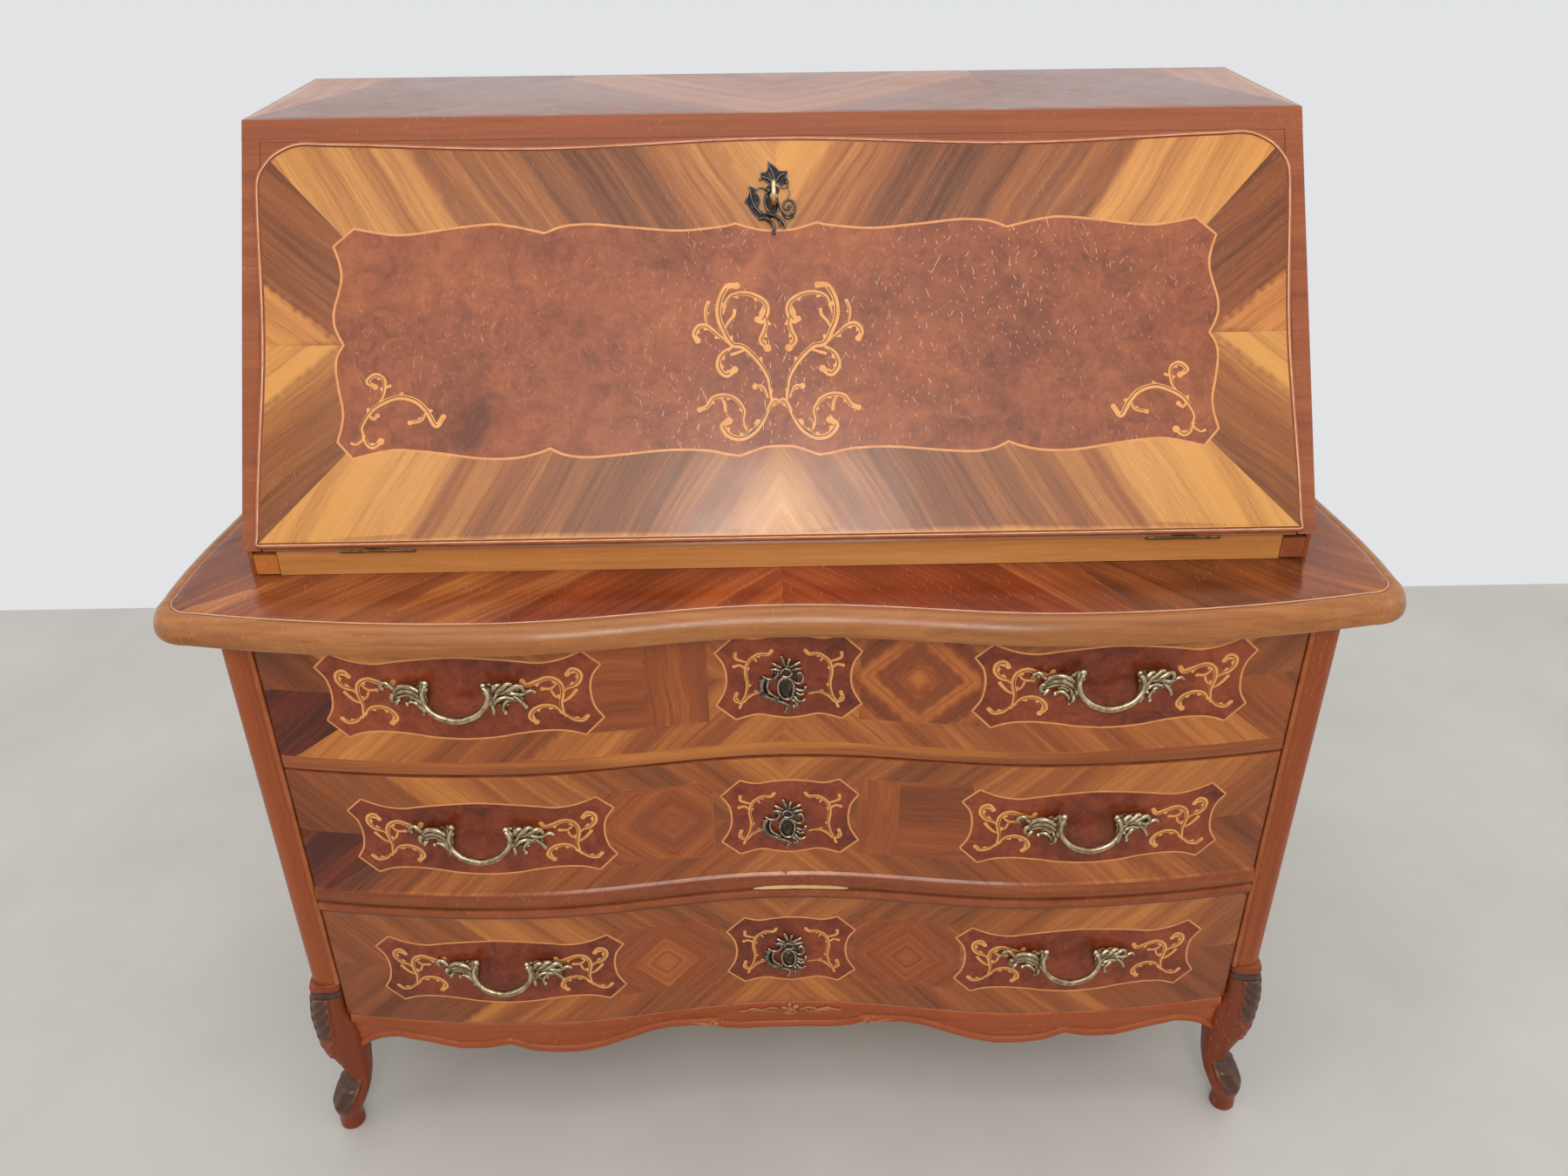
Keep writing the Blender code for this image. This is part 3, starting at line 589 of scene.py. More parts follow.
def buildCrest():
    # rubbed-through edges and dirty hollows, from the piece's own "crest" values
    tree, take, give = newGroup("handledEdges", [
        ("Place", "Vector", None), ("Colour", "Color", (0.5, 0.5, 0.5, 1)), ("Crest", "Float", 0.5),
        ("Rubbed", "Color", tint(206, 132, 84)), ("Grime", "Color", tint(48, 26, 20)),
        ("RubAmount", "Float", 0.5), ("GrimeAmount", "Float", 0.5)], [("Colour", "Color"), ("Wear", "Float")])
    patch = noise(tree, take["Place"], 38.0, 4, 0.65)
    high = times(tree, spread(tree, take["Crest"], 0.56, 0.80, 0, 1), spread(tree, patch, 0.35, 0.62, 0.2, 1))
    low = spread(tree, take["Crest"], 0.46, 0.30, 0, 1)
    dirty = blendColour(tree, times(tree, low, take["GrimeAmount"], clamp=True), take["Colour"], take["Grime"])
    rubbed = times(tree, high, take["RubAmount"], clamp=True)
    wire(tree, blendColour(tree, rubbed, dirty, take["Rubbed"]), give["Colour"])
    wire(tree, high, give["Wear"])
    return tree


figureGroup = buildFigure()
burlGroup = buildBurl()
wearGroup = buildWear()
crestGroup = buildCrest()
print("shared effects built")


# finishes

# clear coat, its roughness and the specular level of each kind of polish
polishKinds = {
    "solid": (0.10, 0.12, 0.24),
    "veneer": (0.20, 0.12, 0.26),
    "inlay": (0.16, 0.14, 0.26),
}


def polished(name, kind):
    coat, rough, specular = polishKinds[kind]
    material, tree, shader = newMaterial(name, Coat_Weight=coat, Coat_Roughness=rough, Specular_IOR_Level=specular)
    return material, tree, shader, objectPlace(tree)


def shellac(tree, shader, place, colour, gloss, nicks, bump, relief=None, share=1):
    # the aged polish laid over a wood's colour; its own height, times share, is added to the wood's
    wear = useGroup(tree, wearGroup, Place=place, Colour=colour, Gloss=gloss, Nicks=nicks)
    wire(tree, wear["Colour"], shader["Base Color"])
    wire(tree, wear["Roughness"], shader["Roughness"])
    height = wear["Height"] if share == 1 else times(tree, wear["Height"], share)
    bumpInto(tree, shader, height if relief is None else plus(tree, relief, height), bump)


def solidWood(name, along, tone, dark, middle, light, stripes=0.35, gloss=0.34, nicks=0.35, crest=False, rubbed=0.45,
              grime=0.45, bump=0.00012):
    # solid timber with its fibre along one axis of the piece
    material, tree, shader, place = polished(name, "solid")
    turned = put(tree, "ShaderNodeMapping")
    turned.inputs["Rotation"].default_value = {"x": (0, 0, 0), "y": (0, 0, -math.pi / 2),
        "z": (0, math.pi / 2, 0)}[along]
    wire(tree, place, turned.inputs["Vector"])
    figure = useGroup(tree, figureGroup, Place=turned.outputs[0], Tone=tone, Stripes=stripes, Fibre=0.22, Dark=dark,
                      Middle=middle, Light=light)
    colour = figure["Colour"]
    if crest:
        colour = useGroup(tree, crestGroup, Place=place, Colour=colour, Crest=tagged(tree, "crest"), RubAmount=rubbed,
                          GrimeAmount=grime)["Colour"]
    shellac(tree, shader, place, colour, gloss, nicks, bump, figure["Height"], 0.8)
    return material


def veneerWood(name, dark, middle, light, stripes, gloss=0.26, nicks=0.3, fibre=0.3):
    # sheet veneer: the "grain" map runs along each leaf, "tone" says how pale it is, "warm" how red
    material, tree, shader, place = polished(name, "veneer")
    leaf = put(tree, "ShaderNodeUVMap", uv_map="grain").outputs["UV"]
    warm = tagged(tree, "warm")
    figure = useGroup(tree, figureGroup, Place=leaf, Tone=tagged(tree, "tone"), Stripes=stripes, Fibre=fibre,
        Dark=dark,
                      Middle=middle, Light=light)
    reddened = blendColour(tree, spread(tree, warm, 0.5, 1.0, 0, 0.75), figure["Colour"], tint(156, 62, 34),
        "SOFT_LIGHT")
    olive = blendColour(tree, spread(tree, warm, 0.5, 0.0, 0, 0.8), reddened, tint(120, 104, 48), "SOFT_LIGHT")
    shellac(tree, shader, place, olive, gloss, nicks, 0.00008, figure["Height"])
    return material


def burlWood(name, dark, middle, light, nicks, worn=None):
    material, tree, shader, place = polished(name, "inlay")
    burl = useGroup(tree, burlGroup, Place=place, Dark=dark, Middle=middle, Light=light, Contrast=1.25)
    if worn is not None:
        # most of the scratches lie round one well used place
        far = put(tree, "ShaderNodeVectorMath", operation="DISTANCE")
        far.inputs[1].default_value = worn
        wire(tree, place, far.inputs[0])
        nicks = times(tree, spread(tree, far.outputs["Value"], 0.10, 0.46, 1.0, 0.35), nicks)
    shellac(tree, shader, place, burl["Colour"], 0.3, nicks, 0.00008, times(tree, burl["Height"], 0.4))
    return material


def inlayWood(name, base, shadow, gloss=0.3):
    # pale inlay, browned unevenly where the polish has gone over it
    material, tree, shader, place = polished(name, "inlay")
    tired = spread(tree, noise(tree, place, 70.0, 4, 0.6), 0.35, 0.68, 0, 0.75)
    fibre = spread(tree, noise(tree, place, 1.0, 3, 0.6, (60, 700, 700)), 0.35, 0.65, 0, 0.35)
    colour = blendColour(tree, arithmetic(tree, "MAXIMUM", tired, fibre), base, shadow)
    shellac(tree, shader, place, colour, gloss, 0.25, 0.00006)
    return material


def agedBrass(name, bright, middle, dirt, gloss, lift=0.0, worked=True):
    # cast brass: bright on the ridges, where rubbed brass carries a painted highlight, brown-black in the hollows
    material, tree, shader = newMaterial(name, Metallic=1.0)
    place = objectPlace(tree)
    patch = noise(tree, place, 160.0, 4, 0.6)
    level = spread(tree, patch, 0.3, 0.7, 0.42 + lift, 0.70 + lift)
    if worked:
        level = plus(tree, plus(tree, tagged(tree, "crest"), lift), spread(tree, patch, 0.3, 0.7, -0.07, 0.07))
    low = blendColour(tree, spread(tree, level, 0.34, 0.52, 0, 1), dirt, middle)
    colour = blendColour(tree, spread(tree, level, 0.52, 0.70, 0, 1), low, bright)
    wire(tree, colour, shader["Base Color"])
    rough = plus(tree, spread(tree, level, 0.3, 0.75, gloss + 0.28, gloss),
        spread(tree, patch, 0.3, 0.7, -0.05, 0.08))
    wire(tree, rough, shader["Roughness"])
    wire(tree, spread(tree, level, 0.22, 0.5, 0.55, 1.0), shader["Metallic"])
    bumpInto(tree, shader, noise(tree, place, 420.0, 4, 0.6), 0.00006)
    return material


def paleWood(name, along, tone=0.6, dark=tint(150, 108, 66), middle=tint(190, 150, 100), light=tint(214, 182, 134)):
    # unpolished secondary wood of the inside
    material = solidWood(name, along, tone, dark, middle, light, stripes=0.4, gloss=0.62, nicks=0.1, bump=0.0002)
    shader = next(n for n in material.node_tree.nodes if n.type == "BSDF_PRINCIPLED").inputs
    shader["Coat Weight"].default_value = 0.0
    return material


def mottled(name, rough, scale, detail, low, high):
    # a dull surface that wanders softly between two colours
    material, tree, shader = newMaterial(name, Roughness=rough)
    cloud = spread(tree, noise(tree, objectPlace(tree), scale, detail, 0.6), 0.3, 0.7, 0, 1)
    wire(tree, blendColour(tree, cloud, low, high), shader["Base Color"])
    return material


postDark, postMiddle, postLight = tint(94, 44, 18), tint(144, 74, 30), tint(172, 98, 46)
beadWood = solidWood("drawerBead", "x", 0.5, tint(74, 32, 14), tint(118, 56, 26), tint(146, 78, 38), stripes=0.4,
    gloss=0.4, crest=True)
edgeWood = solidWood("boardEdge", "x", 0.52, tint(90, 50, 24), tint(142, 88, 46), tint(176, 120, 70), stripes=0.4,
    gloss=0.24, crest=True)
postWood = solidWood("cherryPost", "z", 0.50, tint(88, 38, 17), tint(136, 64, 27), tint(164, 88, 42), stripes=0.3,
    crest=True)
railWood = solidWood("cherryRail", "x", 0.52, postDark, postMiddle, postLight, stripes=0.3, crest=True)
depthWood = solidWood("cherryDepth", "y", 0.50, postDark, postMiddle, postLight, stripes=0.3, crest=True)
sillWood = solidWood("honeySillRail", "x", 0.55, tint(128, 76, 36), tint(176, 114, 58), tint(204, 146, 86),
    stripes=0.4)
sideWood = solidWood("walnutSide", "z", 0.45, tint(82, 42, 24), tint(136, 76, 40), tint(170, 106, 56), stripes=0.6,
    nicks=0.06)
caseWood = solidWood("walnutCase", "x", 0.45, tint(84, 42, 24), tint(136, 76, 40), tint(166, 100, 54), stripes=0.5)
legWood = solidWood("carvedLeg", "z", 0.5, tint(62, 24, 11), tint(114, 48, 21), tint(146, 72, 34), stripes=0.3,
    crest=True,
                    rubbed=0.35, grime=0.75)
carvedDark = solidWood("carvedDark", "z", 0.5, tint(38, 24, 20), tint(68, 44, 36), tint(112, 78, 62), stripes=0.2,
    crest=True,
                       rubbed=0.35, grime=0.9)
apronWood = solidWood("apronWood", "x", 0.52, tint(98, 42, 18), tint(142, 66, 28), tint(168, 88, 42), stripes=0.3,
    crest=True)
crossVeneer = veneerWood("flapVeneer", tint(76, 40, 20), tint(142, 84, 42), tint(196, 138, 70), stripes=0.44,
    fibre=0.55)
# painted shade: the drawer veneer is the fall front's made redder, for the weaker light on the lower fronts
shadedDrawerVeneer = veneerWood("shadedDrawerVeneer", tint(78, 38, 18), tint(144, 78, 36), tint(198, 128, 58), stripes=0.42,
    fibre=0.46, nicks=0.15)
topVeneer = veneerWood("boardVeneer", tint(70, 34, 20), tint(132, 70, 36), tint(184, 118, 58), stripes=0.45,
    gloss=0.17, nicks=0.32)
flapBurl = burlWood("flapBurl", tint(96, 46, 24), tint(130, 68, 38), tint(154, 86, 48), nicks=1.5,
                    worn=(0.10, -0.10, 0.82))
# painted shade: the drawer burl is the fall front's made darker and redder, for the weaker light low down
shadedDrawerBurl = burlWood("shadedDrawerBurl", tint(76, 28, 14), tint(116, 48, 24), tint(144, 68, 34), nicks=0.12)
stringing = inlayWood("paleStringing", tint(204, 140, 82), tint(182, 112, 62))
scrollInlay = inlayWood("scrollInlay", tint(214, 150, 82), tint(184, 116, 58))
cutLine = inlayWood("engravedLine", tint(92, 58, 26), tint(54, 34, 20))
# pale line: rubbed arrises with a painted highlight, along the board's inner edge and the crest of the fall front's
# bead
wornHighlightLine = inlayWood("wornHighlightLine", tint(206, 162, 132), tint(160, 104, 72), gloss=0.45)
# the bright tints of the cast fittings are partly a painted highlight on their ridges
castBrass = agedBrass("agedCastBrass", tint(236, 222, 188), tint(140, 118, 86), tint(26, 18, 14), gloss=0.2)
darkBrass = agedBrass("darkCastBrass", tint(206, 190, 164), tint(80, 68, 58), tint(20, 17, 16), gloss=0.24)
plateBrass = agedBrass("flapPlateBrass", tint(120, 112, 104), tint(50, 46, 46), tint(16, 15, 16), gloss=0.3)
keyBrass = agedBrass("keyBrass", tint(206, 190, 146), tint(160, 140, 94), tint(84, 66, 40), gloss=0.30, lift=0.05)
knobBrass = agedBrass("knobBrass", tint(206, 190, 146), tint(158, 136, 92), tint(80, 64, 40), gloss=0.28,
    worked=False)
steelGrey = agedBrass("lockSteel", tint(170, 168, 162), tint(126, 122, 116), tint(58, 52, 46), gloss=0.38,
    worked=False)
hingeBrass = agedBrass("hingeBrass", tint(150, 116, 78), tint(110, 80, 50), tint(52, 34, 22), gloss=0.5, worked=False)
innerX = paleWood("innerAlongX", "x")
innerY = paleWood("innerAlongY", "y")
innerZ = paleWood("innerAlongZ", "z")
backWood = paleWood("backPanelWood", "z", 0.4, tint(112, 74, 46), tint(150, 106, 66), tint(178, 134, 88))
print("finishes mixed")


# stand, light and camera

def buildStage():
    floor = makePiece("studio_floor", [(-6, -5, 0), (6, -5, 0), (6, 0.9, 0), (-6, 0.9, 0)], [(0, 1, 2, 3)], [],
        smooth=False)
    floor.data.materials.append(mottled("paleFloor", 0.42, 3.0, 4, tint(176, 172, 166), tint(187, 183, 176)))


def buildLights():
    world = bpy.data.worlds.new("softRoom")
    world.use_nodes = True
    background = next(n for n in world.node_tree.nodes if n.type == "BACKGROUND")
    background.inputs[0].default_value = (0.97, 0.985, 1.0, 1)
    background.inputs[1].default_value = 0.78
    scene.world = world
    lamps = [("windowLight", (0.05, -3.4, 2.75), (0.0, 0.0, 0.7), 0.9, 1.3, 46, (1.0, 0.99, 0.97)),
             ("frontFill", (0.0, -2.6, 3.3), (0, 0, 0.6), 3.2, 1.6, 26, (1.0, 1.0, 1.0)),
             ("leftFill", (-3.4, -1.2, 2.2), (0, 0, 0.6), 2.0, 2.0, 14, (0.96, 0.98, 1.0)),
             ("rightFill", (3.4, -1.2, 2.2), (0, 0, 0.6), 2.0, 2.0, 16, (1.0, 0.98, 0.95)),
             ("ceiling", (0, 0.1, 3.2), (0, 0.05, 0), 3.0, 2.2, 30, (1, 1, 1))]
    for name, at, aim, wide, tall, power, colour in lamps:
        light = bpy.data.lights.new(name, "AREA")
        light.shape = "RECTANGLE"
        light.size, light.size_y, light.energy, light.color = wide, tall, power, colour
        lamp = bpy.data.objects.new(name, light)
        lamp.location = at
        lamp.rotation_euler = (Vector(aim) - Vector(at)).to_track_quat("-Z", "Y").to_euler()
        scene.collection.objects.link(lamp)
    scene.view_settings.view_transform = "Standard"
    scene.view_settings.exposure = 0.0


def buildCamera():
    view = {"at": (-0.0110, -1.2199, 1.2717), "lens": 29.43, "down": 0.5333, "yaw": 0.0122, "roll": 0.0109}
    yaw, pitch, roll = view["yaw"], view["down"], view["roll"]
    ahead = Vector((math.sin(yaw) * math.cos(pitch), math.cos(yaw) * math.cos(pitch), -math.sin(pitch)))
    right = Vector((math.cos(yaw), -math.sin(yaw), 0))
    down = ahead.cross(right)
    across = right * math.cos(roll) + down * math.sin(roll)
    below = -right * math.sin(roll) + down * math.cos(roll)
    data = bpy.data.cameras.new("viewCamera")
    data.lens, data.sensor_width, data.clip_start = view["lens"], 36, 0.05
    camera = bpy.data.objects.new("viewCamera", data)
    turn = Matrix((across, -below, -ahead)).transposed().to_4x4()
    camera.matrix_world = Matrix.Translation(view["at"]) @ turn
    scene.collection.objects.link(camera)
    scene.camera = camera


buildStage()
buildLights()
buildCamera()
print("floor, light and camera set")


# where the surfaces lie

chest = {
    "boardTop": 0.675,
    "boardUnder": 0.651,
    "lip": 0.0245,
    "back": 0.2805,
    "frontHalf": 0.4818,
    "frontInner": -0.207,
}
slant = {
    "foot": (0.0, -0.1719, 0.7019),
    "up": (0.0, 0.5410, 0.8410),
    "out": (0.0, -0.8410, 0.5410),
}


def frontY(x):
    # the bow of the drawer fronts: proud at each end of the middle hollow
    r = np.abs(x)
    middle = 0.0235 * (1 + np.cos(math.pi * r / 0.265)) / 2
    ends = 0.0175 * ((r - 0.265) / 0.215) ** 2
    return -0.256 + np.where(r < 0.265, middle, ends)


def onSlant(x, s, n):
    # a point of the sloping face: across, up the slope, out of it
    x, s, n = np.broadcast_arrays(np.asarray(x, float), np.asarray(s, float), np.asarray(n, float))
    return np.column_stack([x, slant["foot"][1] + slant["up"][1] * s + slant["out"][1] * n,
                            slant["foot"][2] + slant["up"][2] * s + slant["out"][2] * n])


# the fall front

flapDesign = {
    "face": 0.0034,
    "beadWide": 0.0052,
    "beadHigh": 0.0046,
    "stringWide": 0.0022,
    "scrollWide": 0.0052,
    "grid": 0.006,
}

burlRuns = [
    [(0, .2927), (.0133, .2933), (.027, .2965), (.0383, .300)],
    [(.0383, .300), (.05, .2973), (.09, .294), (.133, .2973), (.1667, .3007), (.183, .301), (.20, .2993),
    (.2167, .2933)],
    [(.2167, .2933), (.233, .2973), (.25, .3007), (.267, .3023), (.30, .2993), (.333, .2947), (.353, .2933),
     (.373, .2957), (.394, .300)],
    [(.394, .300), (.4133, .2833)],
    [(.4133, .2833), (.4083, .27), (.4057, .255), (.4083, .24), (.4127, .2233), (.4127, .21), (.4083, .1983),
    (.404, .1907)],
    [(.404, .1907), (.41, .18), (.4113, .1667), (.4083, .1467), (.405, .13), (.4057, .1167), (.41, .10)],
    [(.41, .10), (.396, .084)],
    [(.396, .084), (.383, .0873), (.3667, .0907), (.35, .0917), (.3167, .0883), (.283, .0833), (.26, .082),
    (.24, .0833),
     (.223, .0873), (.2133, .091)],
    [(.2133, .091), (.20, .085), (.18, .0823), (.15, .084), (.1167, .087), (.093, .088), (.0667, .0867), (.05, .0833),
     (.0367, .0813)],
    [(.0367, .0813), (.0267, .085), (.0133, .0893), (0, .09)],
]
centreScrolls = [
    # points in millimetres (across, up the slope), belly width, size of the eye at the end
    ([(7, 130), (8, 143), (10, 155), (19, 170), (32, 183), (43, 186), (50, 198), (55, 212), (54, 227), (47, 240),
    (38, 241)], 5.2, 3.6),
    ([(51, 214), (49, 222), (44, 231), (32, 234), (20, 231), (11, 224), (10, 215), (15, 207), (19, 209)], 4.6, 3.4),
    ([(14, 216), (11, 206), (13, 197), (16, 189), (10, 182)], 4.6, 4.2),
    ([(13, 222), (16, 214), (14, 207)], 3.0, 0),
    ([(44, 186), (55, 194), (66, 203), (74, 203), (78, 196), (75, 190)], 4.4, 3.4),
    ([(64, 201), (67, 210), (67, 219), (64, 227)], 3.2, 0),
    ([(42, 184), (53, 176), (56, 165), (49, 157), (41, 162)], 5.0, 3.8),
    ([(30, 181), (38, 178), (45, 176)], 2.6, 0),
    ([(8, 131), (13, 118), (22, 105), (34, 98), (46, 100), (53, 109), (47, 114)], 5.2, 4.0),
    ([(10, 135), (15, 145), (22, 146)], 3.4, 3.2),
    ([(30, 104), (34, 114), (33, 124), (40, 134), (50, 138), (61, 136), (67, 128), (74, 125)], 4.2, 3.0),
    ([(55, 138), (51, 131), (50, 124)], 3.0, 2.0),
    ([(11, 121), (7.5, 129), (4, 133), (0, 131)], 4.2, 0),
    ([(37, 100), (28, 102), (22, 107), (20, 113)], 3.8, 2.8),
    ([(50, 200), (46, 207), (41, 213), (40, 219)], 3.0, 0),
]
cornerScrolls = [
    ([(393, 97), (386, 103), (388, 113), (380, 127), (370, 135), (353, 141), (337, 137), (327, 127), (319, 114),
    (312, 122)], 4.8, 3.0),
    ([(386, 107), (383, 98), (377, 95), (370, 100)], 4.2, 3.8),
    ([(372, 133), (367, 146), (367, 158), (375, 162), (382, 156), (375, 151)], 4.2, 3.2),
    ([(367, 150), (360, 152)], 2.6, 0),
    ([(382, 126), (377, 121), (373, 124)], 3.0, 2.6),
    ([(328, 130), (332, 120), (343, 117)], 3.2, 2.6),
    ([(393, 97), (398, 99)], 2.4, 0),
]


def flapLipLine():
    half = [(0, 0.383)]
    for x in np.arange(0.03, 0.43, 0.03):
        half.append((x, 0.3795 + 0.0035 * math.cos(4 * math.pi * x / 0.908)))
    half += [(.443, .3835), (.457, .380), (.471, .372), (.481, .360), (.4865, .347)]
    half += [(.4865, .320), (.4850, .285), (.4832, .25), (.4818, .21), (.4818, .17), (.4832, .13), (.4850, .09),
             (.4865, .05), (.4870, .015)]
    right = curveThrough(half, 0.006)
    right = np.vstack([right, [(.4870, .0035)]])
    line = np.vstack([right, (right * (-1, 1))[::-1]])[::-1]
    keep = np.linalg.norm(line - np.roll(line, 1, axis=0), axis=1) > 1e-6
    return line[keep]


def scrollShapes(strokes, scale, mirror=True):
    filled, engraved = [], []
    for sign in ((1, -1) if mirror else (1,)):
        for points, wide, eye in strokes:
            placed = np.array(points, float) * scale * (sign, 1)
            shapes, cut = scrollStroke(placed, wide * scale, eye * scale, step=max(0.0014, 1.4 * scale))
            filled += shapes
            if cut is not None and wide > 3.0:
                engraved.append(cut)
    return filled, engraved


def buildFlap():
    design = flapDesign
    lip = flapLipLine()
    rim = lip - loopNormals(lip) * design["beadWide"]
    half = cuspLine(burlRuns, 0.004)
    burl = np.vstack([half, (half * (-1, 1))[::-1][1:-1]])[::-1]
    outer, inner = ribbon(burl, design["stringWide"])
    filled, engraved = scrollShapes(centreScrolls, 0.001)
    more, moreCuts = scrollShapes(cornerScrolls, 0.001)
    filled, engraved = filled + more, engraved + moreCuts
    seams = []
    for sign in (1, -1):
        seams.append([(sign * .4865, .3807), (sign * .4045, .2927)])
        seams.append([(sign * .4900, .000), (sign * .4035, .0875)])
        seams.append([(sign * .4895, .1907), (sign * .4045, .1907)])
    seams += [[(0, .2936), (0, .379)], [(0, .0085), (0, .0890)]]
    seams = [clipLine(seam, rim) for seam in seams]
    sheet = inlaidSheet(rim, seams, [outer, inner] + filled + engraved, design["grid"])
    points, triangles, loop = sheet
    centre = points[triangles].mean(axis=1)
    inBurl = isInside(centre, inner)
    inString = isInside(centre, outer) & ~inBurl
    slots = np.where(inBurl, 1, 0)
    slots[inString] = 2
    for shape in filled:
        slots[isInside(centre, shape)] = 3
    for shape in engraved:
        slots[isInside(centre, shape)] = 4
    m, s = np.abs(centre[:, 0]), centre[:, 1]
    beyondTop = (m - .4045) * (.3807 - .2927) - (s - .2927) * (.4865 - .4045) > 0
    beyondLow = (m - .4035) * (.0875 - .000) - (.0875 - s) * (.4900 - .4035) > 0
    leaf = np.where(s > .19, 0, 1)
    leaf[beyondTop & (s > .1907)] = 2
    leaf[beyondLow & (s <= .1907)] = 3
    leaf[(m > .4045) & (s > .15) & (s < .24) & (s > .1907)] = 2
    leaf[(m > .4045) & (s > .15) & (s < .24) & (s <= .1907)] = 3
    ways = np.array([(.545, .839), (-.530, .848), (.777, .629), (.777, -.629)])

    def acrossOf(pts, part):
        mm, ss = np.abs(pts[:, 0]), pts[:, 1]
        way = ways[part]
        return np.column_stack([mm * way[:, 0] + ss * way[:, 1], mm * -way[:, 1] + ss * way[:, 0]])

    def uv(pts, triangle):
        part = leaf[triangle]
        grain = acrossOf(pts, part)
        grain[:, 0] += part * 3.1 + np.where(pts[:, 0] > 0, 0.0, 0.02)
        grain[:, 1] += part * 1.7 + np.where(pts[:, 0] > 0, 0.0, 0.0006)
        return grain

    def tone(pts, triangle):
        part = leaf[triangle]
        v = acrossOf(pts, part)[:, 1]
        right = pts[:, 0] > 0
        topM = (-v + 0.375 * .545) / .839
        top = np.interp(topM, [0, .03, .05, .055, .10, .125, .14, .17, .20, .24, .25, .30, .335, .345, .40, .48],
                        [.92, .93, .90, .62, .60, .52, .20, .14, .16, .30, .42, .46, .40, .80, .88, .90])
        lowM = (-v - 0.005 * .530) / .848
        low = np.interp(lowM, [-.1, -.02, 0, .05, .06, .12, .15, .17, .20, .24, .26, .30, .35, .36, .42, .50],
                        [.80, .82, .80, .72, .50, .45, .28, .22, .20, .30, .48, .52, .62, .88, .92, .92])
        upper = np.interp(v, [-.14, -.108, -.106, -.09, -.06, -.04, -.03, -.015, 0],
                          [.86, .80, .34, .36, .30, .34, .16, .10, .08])
        lower = np.interp(-v, [-.45, -.4055, -.4035, -.38, -.36, -.345, -.335, -.325, -.30],
                          [.90, .90, .62, .58, .50, .46, .34, .20, .10])
        value = np.choose(part, [top, low, upper, lower])
        value = np.where((part == 0) & ~right & (value > .7), value - .16, value)
        value = np.where(value < .34, .34 + (value - .34) * .55, value)
        return np.clip(np.where(right, value - .02, value), 0, 1)

    def warm(pts, triangle):
        part = leaf[triangle]
        m = np.abs(pts[:, 0])
        red = np.choose(part, [0.52 + 0 * m, 0.42 + 0 * m, 0.62 + 0 * m, 0.40 + 0 * m])
        return np.where(pts[:, 0] > 0, red + 0.06, red)

    face, high = design["face"], design["beadHigh"]
    wide = design["beadWide"]

    def ring(outset, level):
        return lambda edge, normal: onSlant((edge + normal * outset)[:, 0], (edge + normal * outset)[:, 1], level)

    walls = [ring(0.0004, face - 0.0005), ring(0.0010, face - 0.0004), ring(0.0016, high - 0.0004),
             ring(0.0027, high), ring(wide * 0.8, high - 0.0006), ring(wide * 0.97, high - 0.0022),
             ring(wide, 0.0008), ring(wide - 0.0006, 0.0003)]
    # the ring on the crest of the bead takes the pale line, a painted highlight along the bead
    piece = veneeredPiece("fall_front", sheet, lambda p: onSlant(p[:, 0], p[:, 1], face), walls,
                          [crossVeneer, flapBurl, stringing, scrollInlay, cutLine, railWood, wornHighlightLine], slots, uv,
                          {"tone": tone, "warm": warm}, 5, wornHighlightRing=3, wornHighlightSlot=6)
    return piece, makePiece("fall_front_core", *flapCoreParts(), [caseWood], smooth=False)


def clipLine(line, outline):
    # keeps a seam inside the outline: its outer end is pulled in until it lies inside
    far, near = np.array(line, float)
    if isInside(far[None], outline)[0]:
        far, near = near, far
    if isInside(far[None], outline)[0]:
        return [tuple(near), tuple(far)]
    low, high = 0.0, 1.0
    for _ in range(30):
        mid = (low + high) / 2
        if isInside((near + (far - near) * mid)[None], outline)[0]:
            low = mid
        else:
            high = mid
    return [tuple(near), tuple(near + (far - near) * (high + 0.002))]


def flapCoreParts():
    # the thick core behind the lip, bottom edge cut level
    levels = (0.0002, -0.015)
    feet = [(0.7016 - slant["foot"][2] - slant["out"][2] * n) / slant["up"][2] for n in levels]
    profile = [*zip(feet, levels), (0.347, -0.015), (0.347, 0.0002)]
    rings = []
    for x, ease in ((-0.4812, 0.001), (-0.48, 0), (0.48, 0), (0.4812, 0.001)):
        rings.append([onSlant(x, s + (ease if index < 2 else -ease), n + (-ease if index in (0, 3) else ease))[0]
                      for index, (s, n) in enumerate(profile)])
    return loftRings(rings)


flapFace, flapCore = buildFlap()
tidyMesh(flapCore)
tagCrest(flapFace)
tagCrest(flapCore)
seen(flapFace, "flap", "walnut_veneer", "flap_panel")
seen(flapCore, "flap", "walnut_frame")
print("fall front inlaid", len(flapFace.data.polygons), "faces")

# drawer fronts

handlePanel = [
    [(-.114, .0440), (-.095, .0370), (-.075, .0345), (-.055, .0375), (-.030, .0405), (0, .0425), (.030, .0405),
    (.055, .0375),
     (.075, .0345), (.095, .0370), (.114, .0440)],
    [(.114, .0440), (.130, .0285)],
    [(.130, .0285), (.1215, .016), (.1190, .000), (.1215, -.017), (.1290, -.031)],
    [(.1290, -.031), (.111, -.0490)],
    [(.111, -.0490), (.095, -.0430), (.075, -.0410), (.050, -.0430), (.030, -.0465), (0, -.0485), (-.030, -.0465),
     (-.050, -.0430), (-.075, -.0410), (-.095, -.0430), (-.111, -.0490)],
    [(-.111, -.0490), (-.1290, -.031)],
    [(-.1290, -.031), (-.1215, -.017), (-.1190, .000), (-.1215, .016), (-.130, .0285)],
    [(-.130, .0285), (-.114, .0440)],
]
